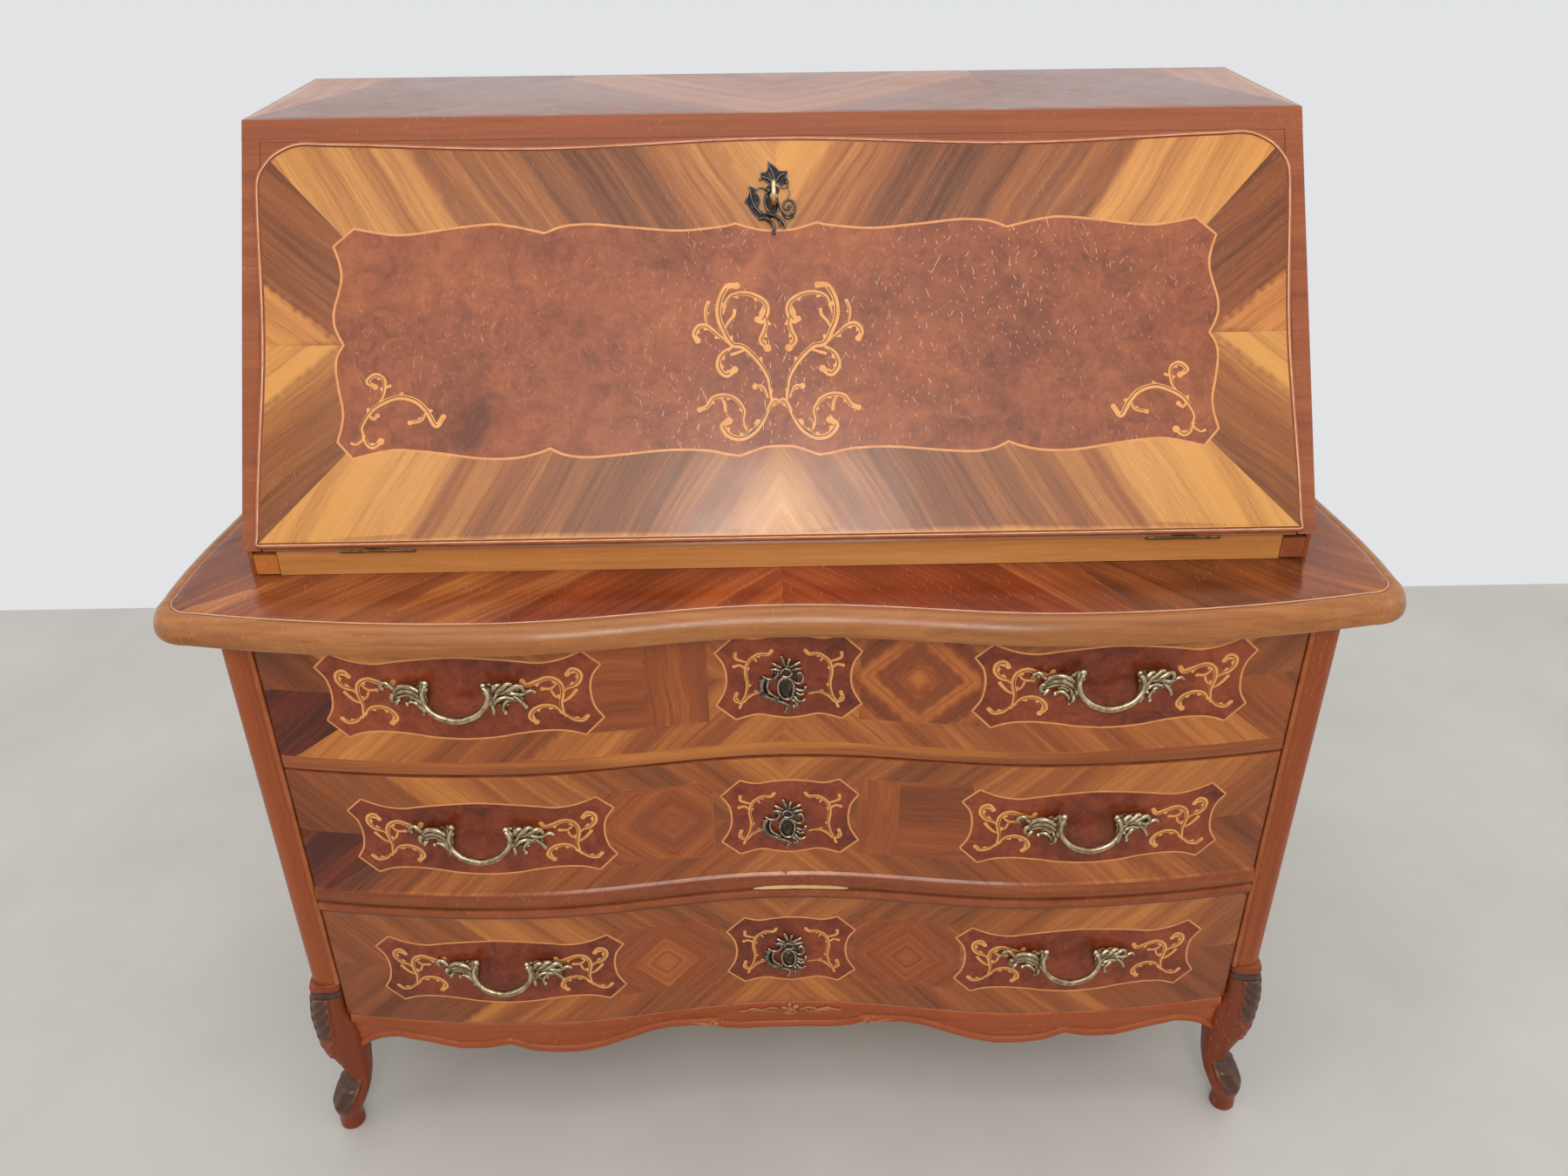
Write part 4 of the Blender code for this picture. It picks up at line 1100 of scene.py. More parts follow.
keyPanel = [
    [(-.0490, .0470), (-.034, .0425), (-.016, .0445), (0, .0455), (.016, .0445), (.034, .0425), (.0490, .0470)],
    [(.0490, .0470), (.0680, .0290)],
    [(.0680, .0290), (.0605, .016), (.0580, .000), (.0605, -.015), (.0685, -.0300)],
    [(.0685, -.0300), (.0505, -.0475)],
    [(.0505, -.0475), (.030, -.0425), (.014, -.0455), (0, -.0475), (-.014, -.0455), (-.030, -.0425),
    (-.0505, -.0475)],
    [(-.0505, -.0475), (-.0685, -.0300)],
    [(-.0685, -.0300), (-.0605, -.015), (-.0580, .000), (-.0605, .016), (-.0680, .0290)],
    [(-.0680, .0290), (-.0490, .0470)],
]
panelScrolls = [
    # scrolls at each end of a handle panel, outwards from its middle, in millimetres
    ([(94, -27), (91.5, -13), (94, 3), (91, 13), (82, 17.5), (70, 13.5), (62, 11), (58.5, 16)], 5.4, 3.0),
    ([(90, 12), (84, 6), (76, 6)], 3.0, 2.6),
    ([(94, 0), (98, 5), (106, 8), (111, 15), (110, 22), (104, 25), (99.5, 20)], 5.6, 3.2),
    ([(94, -24), (101, -30), (109, -32), (114, -28)], 4.6, 3.0),
    ([(92, -24), (85, -15), (75, -13), (66, -17), (62, -25), (67, -31)], 5.2, 3.6),
    ([(92, -10), (98, -7), (103, -2), (106, 2)], 3.4, 2.4),
    ([(90, -6), (86, -2), (84, 3)], 2.4, 1.6),
]
keyScrolls = [
    ([(46.5, -30), (41, -21), (38.5, -8), (40, 6), (37, 18), (28, 25), (19, 25), (15.5, 29)], 4.0, 2.2),
    ([(39.5, 9), (45, 14), (50.5, 13)], 3.0, 2.4),
    ([(38, 17), (44, 19), (49, 22), (49, 27)], 3.2, 2.4),
    ([(18, -20), (28.5, -17.5), (38, -22), (44, -28), (50.5, -25), (49, -17.5)], 3.8, 2.6),
    ([(44, -28), (46.5, -34)], 3.0, 1.8),
    ([(33, 23), (30, 18)], 2.2, 1.4),
]
drawerDesign = {
    1: {"low": .5015, "high": .6495, "middle": .5931, "panels": (-.2970, .3045), "lozenge": (.1250, .595),
    "strip": .5165,
        "topTone": ([-.48, -.435, -.43, -.35, -.31, -.28, -.20, -.185, -.16, -.12, -.11, -.05, .05, .15, .20, .30,
        .35, .40,
                     .45, .46, .48],
                    [.40, .44, .86, .80, .74, .55, .52, .42, .34, .34, .56, .50, .52, .50, .46, .50, .62, .76, .84,
                    .42, .42]),
        "lowTone": ([-.48, -.46, -.455, -.40, -.34, -.29, -.26, -.215, -.21, -.14, -.13, -.10, -.05, -.02, 0, .03,
        .06, .10,
                     .15, .20, .30, .38, .44, .455, .48],
                    [.16, .20, .74, .80, .68, .50, .42, .34, .72, .72, .40, .60, .48, .70, .74, .50, .70, .48, .56,
                    .48, .62,
                     .62, .80, .44, .40]),
        "endLeft": ((.42, .02), (.20, .95)), "endRight": (.42, .42)},
    2: {"low": .3305, "high": .4985, "middle": .4245, "panels": (-.2975, .3030), "lozenge": (.1120, .426),
    "strip": .3475,
        "topTone": ([-.48, -.42, -.36, -.352, -.30, -.25, -.22, -.15, -.10, -.05, -.03, 0, .04, .08, .12, .18, .22,
        .26, .30,
                     .36, .42, .44, .48],
                    [.40, .38, .44, .84, .80, .64, .56, .40, .34, .42, .74, .66, .50, .42, .32, .40, .62, .60, .70,
                    .80, .72,
                     .46, .42]),
        "lowTone": ([-.48, -.42, -.36, -.352, -.30, -.25, -.20, -.15, -.08, -.05, 0, .03, .08, .14, .17, .22, .28,
        .30, .345,
                     .35, .40, .44, .48],
                    [.20, .22, .26, .74, .60, .48, .52, .36, .34, .54, .70, .62, .46, .30, .30, .52, .54, .68, .80,
                    .46, .52,
                     .46, .38]),
        "endLeft": ((.40, .04), (.20, .92)), "endRight": (.42, .38)},
    3: {"low": .1590, "high": .3275, "middle": .2404, "panels": (-.3015, .3075), "lozenge": (.1280, .235),
    "strip": .0,
        "topTone": ([-.48, -.42, -.36, -.32, -.315, -.28, -.22, -.18, -.12, -.05, 0, .04, .10, .15, .20, .25, .32,
        .36, .40,
                     .44, .48],
                    [.46, .44, .36, .40, .80, .74, .66, .50, .34, .42, .66, .56, .34, .32, .44, .50, .78, .72, .60,
                    .60, .48]),
        "lowTone": ([-.48, -.42, -.36, -.32, -.315, -.27, -.22, -.16, -.10, -.05, 0, .04, .08, .14, .16, .22, .30,
        .32, .33,
                     .40, .44, .48],
                    [.34, .30, .30, .34, .78, .60, .62, .46, .40, .54, .74, .66, .44, .36, .52, .50, .62, .68, .42,
                    .44, .30,
                     .30]),
        "endLeft": ((.46, .34), (.34, .56)), "endRight": (.46, .32)},
}


def faceSwell(number, z):
    # how far a moulded edge stands in front of the bow
    if number == 2:
        t = (z - .3392) / .0088
        return np.where(z < .348, .0042 * np.sqrt(np.clip(1 - t * t, 0, 1)) + .0008, 0.0)
    if number == 3:
        t = np.clip((z - .3125) / .0100, 0, 1)
        return .0052 * t * t * (3 - 2 * t) - .0022 * np.clip((z - .3235) / .004, 0, 1)
    return np.where(z < .5165, 0.0004, 0.0)


def shapeAt(runs, cx, cz, step=0.003):
    return (cuspLine(runs, step)[:-1] + (cx, cz))[::-1]


def buildDrawerFront(number):
    design = drawerDesign[number]
    low, high, middle = design["low"], design["high"], design["middle"]
    half, eased = chest["frontHalf"], 0.0008
    xs = np.linspace(-half + eased, half - eased, 161)
    zs = np.linspace(low + eased, high - eased, 29)
    outline = np.vstack([np.column_stack([xs, np.full_like(xs, low + eased)]),
                         np.column_stack([np.full_like(zs[1:-1], half - eased), zs[1:-1]]),
                         np.column_stack([xs[::-1], np.full_like(xs, high - eased)]),
                         np.column_stack([np.full_like(zs[1:-1], -half + eased), zs[1:-1][::-1]])])
    panels = [shapeAt(handlePanel, design["panels"][0], middle), shapeAt(handlePanel, design["panels"][1], middle),
              shapeAt(keyPanel, 0.0045, middle)]
    rims = [ribbon(panel, 0.0019) for panel in panels]
    filled, engraved = [], []
    for strokes, cx in ((panelScrolls, design["panels"][0]), (panelScrolls, design["panels"][1]),
            (keyScrolls, 0.0045)):
        for sign in (1, -1):
            for points, wide, eye in strokes:
                placed = np.array(points, float) * (0.001 * sign, 0.001) + (cx, middle)
                shapes, cut = scrollStroke(placed, wide * 0.00088, eye * 0.00088, step=0.0015)
                filled += shapes
                if cut is not None and wide > 3.5:
                    engraved.append(cut)
    strip = design["strip"]
    top = high - .001 if number != 3 else .3125
    seams = [[(0, middle - .0472), (0, max(low, strip) + .001)], [(0, middle + .046), (0, top)]]
    if strip:
        seams.append([(x, strip) for x in (xs[0], *xs[4:-4:4], xs[-1])])
    floor = max(low + .001, strip)
    # the side whose middle block is plain instead of nested squares
    plainSide = {1: -1, 2: 1, 3: 0}[number]
    for sign, px in ((-1, design["panels"][0]), (1, design["panels"][1])):
        seams.append([(px + sign * .1200, middle - .0405), (sign * .466, floor)])
        seams.append([(px + sign * .1220, middle + .0365), (sign * .448, top)])
        for edge in (.183, .071):
            seams.append([(sign * edge, middle - .048), (sign * edge, middle + .048)])
        seams.append([(sign * .071, middle - .048), (sign * .183, middle - .048)])
        seams.append([(sign * .071, middle + .048), (sign * .183, middle + .048)])
        cx, cz = sign * design["lozenge"][0], design["lozenge"][1]
        if sign == plainSide:
            seams.append([(cx, middle - .048), (cx, middle + .048)])
            continue
        for size in ((.036,) if number == 3 else (.016, .034) if number == 1 else (.020,)):
            seams.append([(cx - size, cz), (cx, cz + size), (cx + size, cz), (cx, cz - size), (cx - size, cz)])
    sheet = inlaidSheet(outline, seams, [r for pair in rims for r in pair] + filled + engraved, 0.006)
    points, triangles, loop = sheet
    centre = points[triangles].mean(axis=1)
    slots = np.zeros(len(triangles), dtype=int)
    for outer, inner in rims:
        slots[isInside(centre, outer)] = 2
        slots[isInside(centre, inner)] = 1
    for shape in filled:
        slots[isInside(centre, shape)] = 3
    for shape in engraved:
        slots[isInside(centre, shape)] = 4
    x, z = centre[:, 0], centre[:, 1]
    moulded = (z < strip) & (number == 2) | (z > .3125) & (number == 3)
    slots[moulded & (slots == 0)] = 5
    m = np.abs(x)
    lz = design["lozenge"]
    part = np.where(z > middle, 0, 1)
    part[(m > .071) & (m < .183) & (np.abs(z - middle) < .048)] = 2
    side = np.where(x < 0, design["panels"][0], design["panels"][1])
    outLow = (m - (np.abs(side) + .1200)) / (.466 - np.abs(side) - .1200)
    edgeLow = middle - .0405 + (floor - middle + .0405) * np.clip(outLow, 0, 1)
    edgeTop = middle + .0365 + (top - middle
        - .0365) * np.clip((m - (np.abs(side) + .122)) / (.448 - np.abs(side) - .122), 0, 1)
    beyond = (m > np.abs(side) + .119) & (z > edgeLow) & (z < edgeTop) | (m > .466)
    part[beyond & (z > middle)] = 3
    part[beyond & (z <= middle)] = 4
    part[(z < strip)] = 5
    leftTones, leftWarm = design["endLeft"]

    def uv(pts, triangle):
        kind = part[triangle]
        px, pz = pts[:, 0], pts[:, 1] - middle
        pm = np.abs(px)
        rise = np.where(np.isin(kind, (0, 2, 3)), pz, -pz)
        along, across = (pm + rise) * .707, (pm - rise) * .707
        a, b = np.abs(pm - lz[0]), np.abs(pts[:, 1] - lz[1])
        along = np.where(kind == 2, (a - b) * .707 + 1.3, along)
        across = np.where(kind == 2, (a + b) * .707 * 1.6 + .31, across)
        plain = (kind == 2) & (px * plainSide > 0)
        along = np.where(plain, np.where(pm > lz[0], pm, pts[:, 1]), along)
        across = np.where(plain, np.where(pm > lz[0], pts[:, 1] * .45, pm * .30 + .2), across)
        along = np.where(kind == 5, px, along)
        across = np.where(kind == 5, pz, across)
        ends = (kind == 3) | (kind == 4)
        return np.column_stack([along + number * 2.3 + kind * .37,
                                across + number * 1.1 + kind * .173 + ends * .5 + np.where(px > 0, .0007, 0)])

    def tone(pts, triangle):
        kind = part[triangle]
        px, pz = pts[:, 0], pts[:, 1]
        slantX = px + np.sign(px) * -(np.abs(pz - middle) - .048)
        topTone = np.interp(slantX, *design["topTone"])
        lowTone = np.interp(slantX, *design["lowTone"])
        lozenge = .52 + .15 * np.sign(np.sin((np.abs(np.abs(px) - lz[0]) + np.abs(pz - lz[1])) / .0205 * math.pi))
        lozenge = np.where(px < 0, lozenge * .16 + .42, lozenge if number == 1 else lozenge * .4 + .30)
        if number == 3:
            near = np.abs(np.abs(px) - lz[0]) + np.abs(pz - lz[1]) < .036
            lozenge = np.where(near, np.where(px < 0, .66, .54), lozenge * .85)
        lozenge = np.where(px * plainSide > 0, np.where(np.abs(px) > lz[0], .44, .52), lozenge)
        endHigh = np.where(px < 0, leftTones[0], design["endRight"][0])
        endLow = np.where(px < 0, leftTones[1], design["endRight"][1])
        strips = np.interp(px, [-.48, -.2, -.16, .18, .30, .48], [.44, .50, .78, .70, .52, .55])
        return .46 + .82 * (np.choose(kind, [topTone, lowTone, lozenge, endHigh, endLow, strips]) - .5)

    def warm(pts, triangle):
        kind = part[triangle]
        left = pts[:, 0] < 0
        base = np.choose(kind, [.50, .56, .66, .50, .60, .40])
        base = np.where(left & (kind == 3), leftWarm[0], base)
        return np.where(left & (kind == 4), leftWarm[1], base)

    def surface(p):
        return np.column_stack([p[:, 0], frontY(p[:, 0]) - faceSwell(number, p[:, 1]), p[:, 1]])

    def ring(outset, depth):
        def place(edge, normal):
            moved = edge + normal * outset
            base = surface(edge)
            return np.column_stack([np.clip(moved[:, 0], -half, half), base[:, 1] + depth,
                np.clip(moved[:, 1], low, high)])
        return place

    def innerRing(edge, normal):
        moved = edge + normal * eased
        return np.column_stack([np.clip(moved[:, 0], -half, half), np.full(len(edge), chest["frontInner"]),
                                np.clip(moved[:, 1], low, high)])

    # the drawer veneer and burl carry painted shade, redder and darker than the fall front's
    piece = veneeredPiece("drawer_front_%d" % number, sheet, surface,
        [ring(eased * .7, .0003), ring(eased, .0009), innerRing],
                          [shadedDrawerVeneer, shadedDrawerBurl, stringing, scrollInlay, cutLine, beadWood, innerX], slots, uv,
                          {"tone": tone, "warm": warm}, 5, 6)
    tagCrest(piece)
    return seen(piece, "drawer_%d" % number, "walnut_veneer", "drawer_%d_front" % number)


for number in (1, 2, 3):
    front = buildDrawerFront(number)
    print("drawer front", number, "inlaid", len(front.data.polygons), "faces")


# the writing board between chest and case

boardDesign = {
    "inset": 0.0195,
    "grid": 0.009,
    "seams": [[(-.175, -.17), (-.26, -.262)], [(-.30, -.17), (-.345, -.235)], [(-.46, -.17), (-.515, -.238)],
              [(-.49, -.195), (-.5345, -.225)], [(.275, -.17), (.315, -.262)], [(.20, -.17), (.27, -.265)],
              [(.493, -.17), (.465, -.242)]],
}


def boardEnd(y):
    return 0.574 - 0.018 * (1 - np.cos(2 * math.pi * (y + 0.18) / 0.4605)) / 2


def boardLine():
    half = [(x, float(frontY(x)) - chest["lip"]) for x in np.linspace(0, 0.530, 54)]
    corner = half[-1][1] + 0.040
    for a in np.linspace(-80, 0, 12):
        half.append((0.530 + 0.040 * math.cos(math.radians(a)) + 0.004 * (a + 90) / 90,
            corner + 0.040 * math.sin(math.radians(a))))
    half += [(float(boardEnd(y)), y) for y in np.linspace(corner + .01, chest["back"], 40)]
    line = np.array(half)
    return np.vstack([line, (line * (-1, 1))[::-1][:-1]])


def buildBoard():
    outer = boardLine()
    outer[:, 1] = np.minimum(outer[:, 1], chest["back"])
    rim = outer - loopNormals(outer) * boardDesign["inset"]
    rim[:, 1] = np.where(outer[:, 1] > chest["back"] - .001, chest["back"], rim[:, 1])
    keep = [0]
    for i in range(1, len(rim)):
        if np.linalg.norm(rim[i] - rim[keep[-1]]) > .0015:
            keep.append(i)
    outer, rim = outer[keep], rim[keep]
    seams = [clipLine(seam, rim) for seam in boardDesign["seams"] + [[(0, -.17), (0, -.2365)]]]
    sheet = inlaidSheet(rim, seams, [], boardDesign["grid"])
    points, triangles, _ = sheet
    centre = points[triangles].mean(axis=1)
    slots = np.zeros(len(triangles), dtype=int)
    x, y = centre[:, 0], centre[:, 1]

    def lineX(seam, py):
        (ax, ay), (bx, by) = seam
        return ax + (bx - ax) * (py - ay) / (by - ay)

    # each seam, which side of it a leaf lies on, and the leaf's number
    part = np.where(x < 0, 0, 1)
    for seam, side, leaf in ((0, -1, 2), (1, -1, 3), (2, -1, 4), (3, -1, 5), (5, 1, 6), (4, 1, 7), (6, 1, 8)):
        part[x * side > lineX(boardDesign["seams"][seam], y) * side] = leaf
    angles = np.radians([48, -47, 44, 46, 50, 52, -58, -50, -38])

    def grain(pts, kind):
        c, sn = np.cos(angles[kind]), np.sin(angles[kind])
        return np.column_stack([pts[:, 0] * c + pts[:, 1] * sn, -pts[:, 0] * sn + pts[:, 1] * c])

    def uv(pts, triangle):
        kind = part[triangle]
        out = grain(pts, kind)
        out[:, 1] = np.where(kind == 1, -out[:, 1], out[:, 1]) + kind * .61 * (kind > 1) + 7.7
        return out + (5.5, 0)

    def tone(pts, triangle):
        kind = part[triangle]
        # painted highlight: the leaves are paler in a soft band across the middle of the board, where the window
        # light falls
        paintedHighlight = .20 * np.exp(-((pts[:, 0] - .01) / .11) ** 2)
        return np.choose(kind, [.38, .36, .50, .44, .80, .40, .44, .28, .46]) + .06 * np.sin(pts[:, 0] * 60) + paintedHighlight

    def warm(pts, triangle):
        kind = part[triangle]
        return np.choose(kind, [.84, .88, .58, .54, .40, .56, .66, .34, .56])

    top = chest["boardTop"]

    def surface(p):
        return np.column_stack([p, np.full(len(p), top)])

    def ring(outset, level):
        def place(edge, edgeNormal):
            spots = np.empty((len(edge), 3))
            for i, p in enumerate(edge):
                nearest = int(np.argmin(((rim - p) ** 2).sum(axis=1)))
                spots[i, :2] = p + (outer[nearest] - rim[nearest]) * outset
                spots[i, 2] = level
            return spots
        return place

    rings = [(0.0, top + .0000), (0.050, top - .0004), (.07, top - .0012), (.16, top - .0003), (.30, top - .0002),
             (.46, top - .0010), (.60, top - .0026), (.74, top - .0052), (.86, top - .0090), (.94, top - .0130),
             (.985, top - .0170), (1.0, top - .0200), (.985, top - .0222), (.955, top - .0235),
             (.90, chest["boardUnder"])]
    # the first ring past the leaves takes the pale line: a worn arris with a painted highlight
    piece = veneeredPiece("writing_board", sheet, surface, [ring(a, b) for a, b in rings[1:]],
                          [topVeneer, edgeWood, wornHighlightLine], slots, uv, {"tone": tone, "warm": warm}, 1, wornHighlightRing=0,
                          wornHighlightSlot=2)
    tagCrest(piece)
    return seen(piece, "desk", "walnut_veneer", "chest_top_board")


board = buildBoard()
print("writing board laid", len(board.data.polygons), "faces")


# upper case

def prismShell(outline, low, high, ease, slots):
    # an upright board of any (depth, height) outline with eased edges; slots are for its low face, rim and high face
    outline = np.array(outline, float)
    normals = loopNormals(outline)
    levels = [(low, ease), (low + ease, 0.0), (high - ease, 0.0), (high, ease)]
    verts, faces = loftRings([np.column_stack([np.full(len(outline), x), outline - normals * inset]) for x,
        inset in levels])
    return verts, faces, [slots[1]] * (len(faces) - 2) + [slots[0], slots[2]]


def buildCaseSide(side):
    outline = [(-.1719, .7019), (.2805, .7019), (.2805, 1.0251), (.0360, 1.0251)]
    outline = np.vstack([np.linspace(a, b, 9)[:-1] for a, b in zip(outline, outline[1:] + outline[:1])])
    panel = prismShell(outline, *sorted((side * .482, side * .500)), .0012, (1, 1, 0) if side > 0 else (0, 1, 1))
    skirt = [(-.1690, .6754), (.2795, .6754), (.2795, .7030), (-.1690, .7030)]
    skirt = prismShell(skirt, *sorted((side * .4922, side * .4966)), .0006, (1, 1, 1))
    verts, faces, _ = mergeParts([panel[:2], skirt[:2]])
    slots = panel[2] + skirt[2]
    name = "right" if side > 0 else "left"
    piece = makePiece("case_end_" + name, verts, faces, [sideWood, caseEdge], slots, smooth=False)
    tidyMesh(piece)
    return seen(piece, "desk", "walnut_veneer", "case_side_" + name)


def buildCaseTop():
    x, low, high = .5000, 1.0249, 1.0434
    outline = np.array([(-x + .001, .0492), (x - .001, .0492), (x - .001, .2795), (-x + .001, .2795)])
    outline = np.vstack([np.linspace(a, b, 24)[:-1] for a, b in zip(outline, np.roll(outline, -1, axis=0))])
    seams = [[(-.4985, .0500), (-.4030, .2790)], [(.4985, .0500), (.4030, .2790)], [(0, .0500), (0, .2790)],
             [(-.215, .0500), (-.215, .2790)], [(.215, .0500), (.215, .2790)]]
    sheet = inlaidSheet(outline, seams, [], .012)
    points, triangles, loop = sheet
    centre = points[triangles].mean(axis=1)
    m = np.abs(centre[:, 0])
    part = np.where(m < .215, 0, 1)
    part[(m - .403) / .0955 > (.279 - centre[:, 1]) / .229] = 2

    def uv(pts, triangle):
        kind = part[triangle]
        px, py = np.abs(pts[:, 0]), pts[:, 1]
        along = np.choose(kind, [px * .74 + py * .67, px * .8 - py * .6, py])
        across = np.choose(kind, [-px * .67 + py * .74, px * .6 + py * .8 + .9, px + 1.9])
        return np.column_stack([along + 3.3, across + 4.4])

    def tone(pts, triangle):
        kind = part[triangle]
        px = np.abs(pts[:, 0]) - .9 * (pts[:, 1] - .05)
        middle = np.interp(px, [-.2, -.05, .02, .06, .2], [.50, .60, .66, .36, .30])
        return np.choose(kind, [middle, .34 + 0 * px, .62 + 0 * px])

    def warm(pts, triangle):
        return np.choose(part[triangle], [.55, .62, .5]) + 0 * pts[:, 0]

    def ring(outset, level):
        def place(edge, normal):
            moved = edge + normal * outset
            y = np.where(np.abs(edge[:, 1] - .0492) < .0001, .0478 - (high - level) * .5410 / .8410, moved[:, 1])
            return np.column_stack([np.clip(moved[:, 0], -x, x), np.minimum(y, .2805), np.full(len(edge), level)])
        return place

    piece = veneeredPiece("case_lid", sheet, lambda p: np.column_stack([p, np.full(len(p), high)]),
                          [ring(.0007, high - .0003), ring(.0010, high - .0010), ring(.0010, low + .0006),
                          ring(.0004, low)],
                          [topVeneer, caseEdge], np.zeros(len(triangles), int), uv, {"tone": tone, "warm": warm}, 1)
    return seen(piece, "desk", "walnut_veneer", "case_top")


caseEdge = solidWood("cherryCaseEdge", "x", 0.46, tint(92, 42, 24), tint(136, 72, 40), tint(166, 96, 56),
    stripes=0.35)
loperWood = solidWood("loperHoney", "y", 0.55, tint(128, 68, 28), tint(172, 98, 42), tint(196, 128, 64), stripes=0.3)
loperDark = solidWood("loperCherry", "y", 0.45, tint(92, 42, 24), tint(136, 72, 40), tint(166, 96, 56), stripes=0.3)
for side in (1, -1):
    buildCaseSide(side)
buildCaseTop()
print("upper case built")


# corner posts, legs and apron

def buildPost(side):
    low, high, corner = .2057, .6507, .013
    section = [(.4828, -.2000), (.4828, -.2392), (.4836, -.2400), (.4868, -.2402), (.4880, -.2392), (.4890, -.2392),
        (.4902, -.2400)]
    section += [(x, -.2400) for x in np.linspace(.492, .514 - corner, 4)]
    for a in np.linspace(-80, 0, 9):
        section.append((.514 - corner + corner * math.cos(math.radians(a)),
            -.2400 + corner + corner * math.sin(math.radians(a))))
    section += [(.514, -.215), (.514, -.2000)]
    section = np.array(section)
    rings = []
    for z in np.concatenate([[low], np.linspace(low + .001, high - .001, 60), [high]]):
        shrink = .0006 if z in (low, high) else 0.0
        ring = section - loopNormals(section) * shrink
        rings.append(np.column_stack([ring * (side, 1), np.full(len(ring), z)]))
    verts, faces = loftRings(rings)
    name = "right" if side > 0 else "left"
    piece = makePiece("canted_post_" + name, verts, faces, [postWood])
    tidyMesh(piece, sharpAngle=40)
    tagCrest(piece)
    return seen(piece, "desk", "walnut_frame", "corner_post_" + name)


legDesign = {
    "stations": [(.2054, .5000, -.2217, .0168, .0213), (.188, .5005, -.2220, .0175, .0215),
    (.160, .5025, -.2230, .0195, .0222),
                 (.136, .4985, -.2235, .0235, .0228), (.110, .4965, -.2250, .0230, .0225),
                 (.092, .4930, -.2270, .0195, .0200),
                 (.076, .4890, -.2300, .0155, .0165), (.062, .4875, -.2340, .0135, .0145),
                 (.048, .4925, -.2425, .0165, .0170),
                 (.035, .4990, -.2495, .0180, .0180), (.024, .5010, -.2515, .0150, .0150),
                 (.018, .5010, -.2515, .0132, .0132),
                 (.000, .5010, -.2515, .0138, .0138)],
    "rings": 150,
    "sides": 96,
    "leafTop": .1860,
    "leafTip": .0960,
    "carveDeep": .0026,
}


def legSurface(side):
    # cabriole leg: rounded-square sections, reeded collar, carved knee leaf and curled toe
    design = legDesign
    stations = np.array(design["stations"])[::-1]
    smooth = curveThrough(stations, .0012)
    zs = np.unique(np.concatenate([np.linspace(0, .2054, design["rings"]), np.linspace(.186, .2054, 26)]))
    track = np.column_stack([np.interp(zs, smooth[:, 0], smooth[:, k]) for k in range(1, 5)])
    turn = np.arange(design["sides"]) * 2 * math.pi / design["sides"]
    fromCorner = (turn + math.pi / 4 + math.pi) % (2 * math.pi) - math.pi
    rings, depths = [], []
    for z, (cx, cy, hx, hy) in zip(zs, track):
        square = np.interp(z, [.0, .03, .05, .09, .14, .2054], [2.0, 2.0, 2.4, 3.0, 3.4, 4.0])
        c, s = np.cos(turn), np.sin(turn)
        reach = (np.abs(c) ** square + np.abs(s) ** square) ** (-1 / square)
        lift = np.zeros_like(turn)
        stain = np.zeros_like(turn)
        if z > .1875:
            t = (z - .1875) / .0165
            lift += .0016 * abs(math.sin(math.pi * min(max(t, 0), 1) * 2)) - .0003
            stain += 1.0
        tip, top = design["leafTip"], design["leafTop"]
        if tip < z < .1885:
            v = (z - tip) / (top - tip)
            lobes = .10 * abs(math.sin(v * math.pi * 4.5))
            half = (.16 + 1.02 * v ** .8) * (1 - .25 * v ** 5) + lobes
            near = np.clip((half - np.abs(fromCorner)) / .13, 0, 1)
            near = near * near * (3 - 2 * near)
            veins = .5 + .5 * np.cos(2 * math.pi * (v * 6.5 - np.abs(fromCorner) * 1.7))
            midrib = np.exp(-(fromCorner / .07) ** 2)
            lift += design["carveDeep"] * near * (.55 + .45 * veins - .45 * midrib) * min(1, (.1885 - z) / .002)
            stain += near * (.35 + .65 * (v > .35))
        if .0300 < z < .0640:
            v = (z - .0300) / .0340
            wrap = np.clip((1.25 - np.abs(fromCorner)) / .25, 0, 1)
            curl = .0052 * math.sin(math.pi * v ** 1.6) ** 1.2 + .0030 * math.exp(-((v - .80) / .13) ** 2)
            flute = .0011 * np.cos(fromCorner * 9 + v * 3)
            lift += wrap * (curl + flute * math.sin(math.pi * v))
            stain += wrap
        if z <= .0300:
            lift += .0005 * math.sin(math.pi * min(z / .0018, .5)) - .0005
        px = cx + c * reach * hx + lift * c
        py = cy + s * reach * hy + lift * s
        rings.append(np.column_stack([px * side, py, np.full_like(px, z)]))
        depths.append(np.clip(stain, 0, 1))
    return rings, np.array(depths)


def buildLeg(side):
    rings, stain = legSurface(side)
    verts, faces = loftRings(rings)
    size = legDesign["sides"]
    slots = []
    for face in faces[:-2]:
        level, at = face[0] // size, face[0] % size
        slots.append(1 if stain[level][at] > .55 and rings[level][0][2] > .030 and rings[level][0][2] < .199 else 0)
    slots += [0, 0]
    name = "right" if side > 0 else "left"
    parts = [(verts, faces)]
    # little volutes at each end of the curled toe: where, and how far they reach across and outwards
    t = np.linspace(0, 1, 26)
    angle, reach = t * 2.2 * 2 * math.pi, .0062 * (1 - t * .86)
    toe = np.interp(.049, [.048, .062], [.4925, .4875])
    for x, y, across, outward in ((toe + .0165, -.2440, 0, 1), (toe - .002, -.2585, .6, 0)):
        path = np.column_stack([(x + reach * np.cos(angle) * across) * side, y + reach * np.cos(angle) * outward,
                                .0505 + reach * np.sin(angle)])
        parts.append(tube(path, .0019 * (1 - .4 * t)))
    total, allFaces, _ = mergeParts(parts)
    slots += [1] * (len(allFaces) - len(slots))
    piece = makePiece("cabriole_leg_" + name, total, allFaces, [legWood, carvedDark], slots)
    tidyMesh(piece, sharpAngle=60)
    tagCrest(piece, gain=1.6)
    return seen(piece, "desk", "walnut_leg", "leg_front_" + name)


